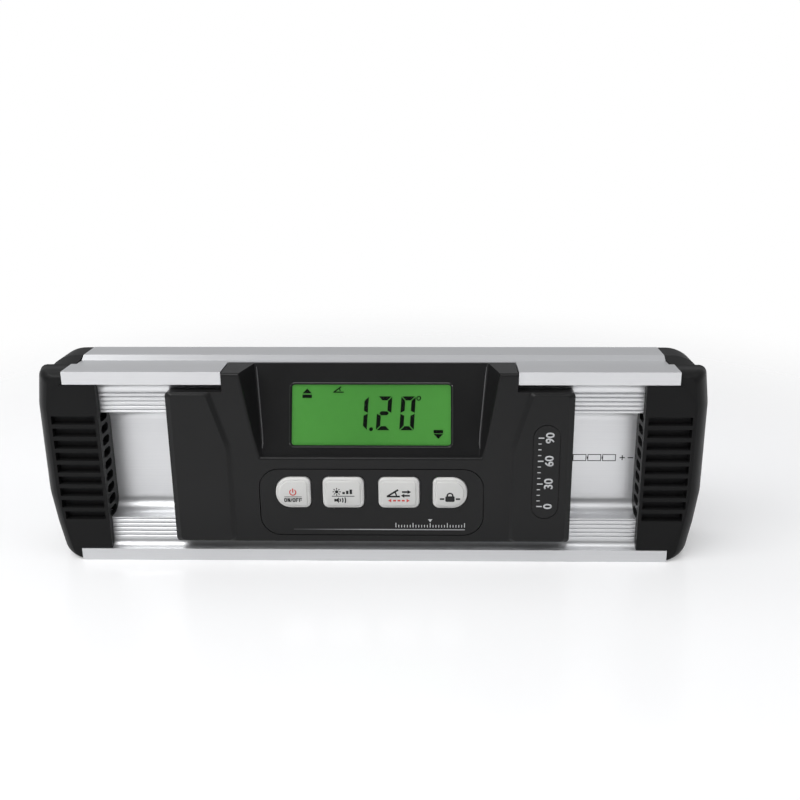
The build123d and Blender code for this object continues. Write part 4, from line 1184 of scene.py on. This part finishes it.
def lightWorld():
    # the camera sees white, the object a pale studio with a bright ceiling and a dark front wall
    look = worldLook
    world = bpy.data.worlds.new("studio")
    bpy.context.scene.world = world
    world.use_nodes = True
    tree = world.node_tree
    studio = tree.nodes["Background"]
    white = place(tree, "ShaderNodeBackground")
    white.inputs["Color"].default_value = (1, 1, 1, 1)
    towards = axes(tree, "Generated")
    colour = blendColour(tree, ramp(tree, towards["Z"], *look["skyRise"]), look["wall"], look["sky"])
    ahead = ramp(tree, towards["Y"], *look["darkAhead"])
    dark = mathNode(tree, "MULTIPLY", ahead, ramp(tree, towards["Z"], *look["darkTop"]))
    tree.links.new(blendColour(tree, dark, colour, look["dark"]), studio.inputs["Color"])
    rays = tree.nodes.new("ShaderNodeLightPath").outputs
    inMetal = mathNode(tree, "MULTIPLY", rays["Is Glossy Ray"], look["inMetal"])
    seen = mathNode(tree, "MAXIMUM", inMetal, rays["Is Transmission Ray"])
    seen = mathNode(tree, "MULTIPLY", seen, ramp(tree, towards["Y"], *look["whiteBehind"]))
    mix = tree.nodes.new("ShaderNodeMixShader")
    tree.links.new(mathNode(tree, "MAXIMUM", seen, rays["Is Camera Ray"]), mix.inputs["Fac"])
    tree.links.new(studio.outputs["Background"], mix.inputs[1])
    tree.links.new(white.outputs["Background"], mix.inputs[2])
    tree.links.new(mix.outputs["Shader"], tree.nodes["World Output"].inputs["Surface"])


lamps = {
    "keySoftbox": {"at": (-0.60, -0.40, 0.75), "size": 0.6, "power": 4.3},
    "frontFill": {"at": (-0.15, -0.75, 1.15), "size": 0.6, "power": 4.8},
    "backLeft": {"at": (-0.55, 0.25, 0.75), "size": 0.4, "power": 0.65},
    "rightFill": {"at": (0.75, -0.35, 0.70), "size": 0.5, "power": 1.3},
}
lampAim = Vector((0, 0, 35 * mm))


def hangLamps():
    for name, lamp in lamps.items():
        light = bpy.data.lights.new(name, "AREA")
        light.size = lamp["size"]
        light.energy = lamp["power"]
        holder = bpy.data.objects.new(name, light)
        holder.location = lamp["at"]
        holder.rotation_euler = (lampAim - Vector(lamp["at"])).to_track_quat("-Z", "Y").to_euler()
        bpy.context.scene.collection.objects.link(holder)


viewLook = {  # focal length and middle in pixels of the picture, turns in degrees
    "at": (22.13 * mm, -299.34 * mm, 156.55 * mm), "down": 16.6, "turn": 1.04, "roll": -0.238,
    "focal": 896.5, "middle": (419.7, 370.0), "picture": 800, "sensor": 36, "near": 10 * mm,
}


def setCamera():
    look = viewLook
    data = bpy.data.cameras.new("photoView")
    data.sensor_width = look["sensor"]
    data.lens = look["focal"] / look["picture"] * look["sensor"]
    half = look["picture"] / 2
    data.shift_x = (half - look["middle"][0]) / look["picture"]
    data.shift_y = (look["middle"][1] - half) / look["picture"]
    data.clip_start = look["near"]
    data.dof.use_dof = False
    camera = bpy.data.objects.new("photoView", data)
    bpy.context.scene.collection.objects.link(camera)
    turn = Matrix.Rotation(math.radians(look["turn"]), 4, "Z")
    tilt = Matrix.Rotation(math.radians(90 - look["down"]), 4, "X")
    roll = Matrix.Rotation(math.radians(look["roll"]), 4, "Z")
    camera.matrix_world = Matrix.Translation(look["at"]) @ turn @ tilt @ roll
    bpy.context.scene.camera = camera


layFloor()
lightWorld()
hangLamps()
setCamera()
bpy.context.scene.view_settings.view_transform = "Standard"
print("stage, lamps and camera set")
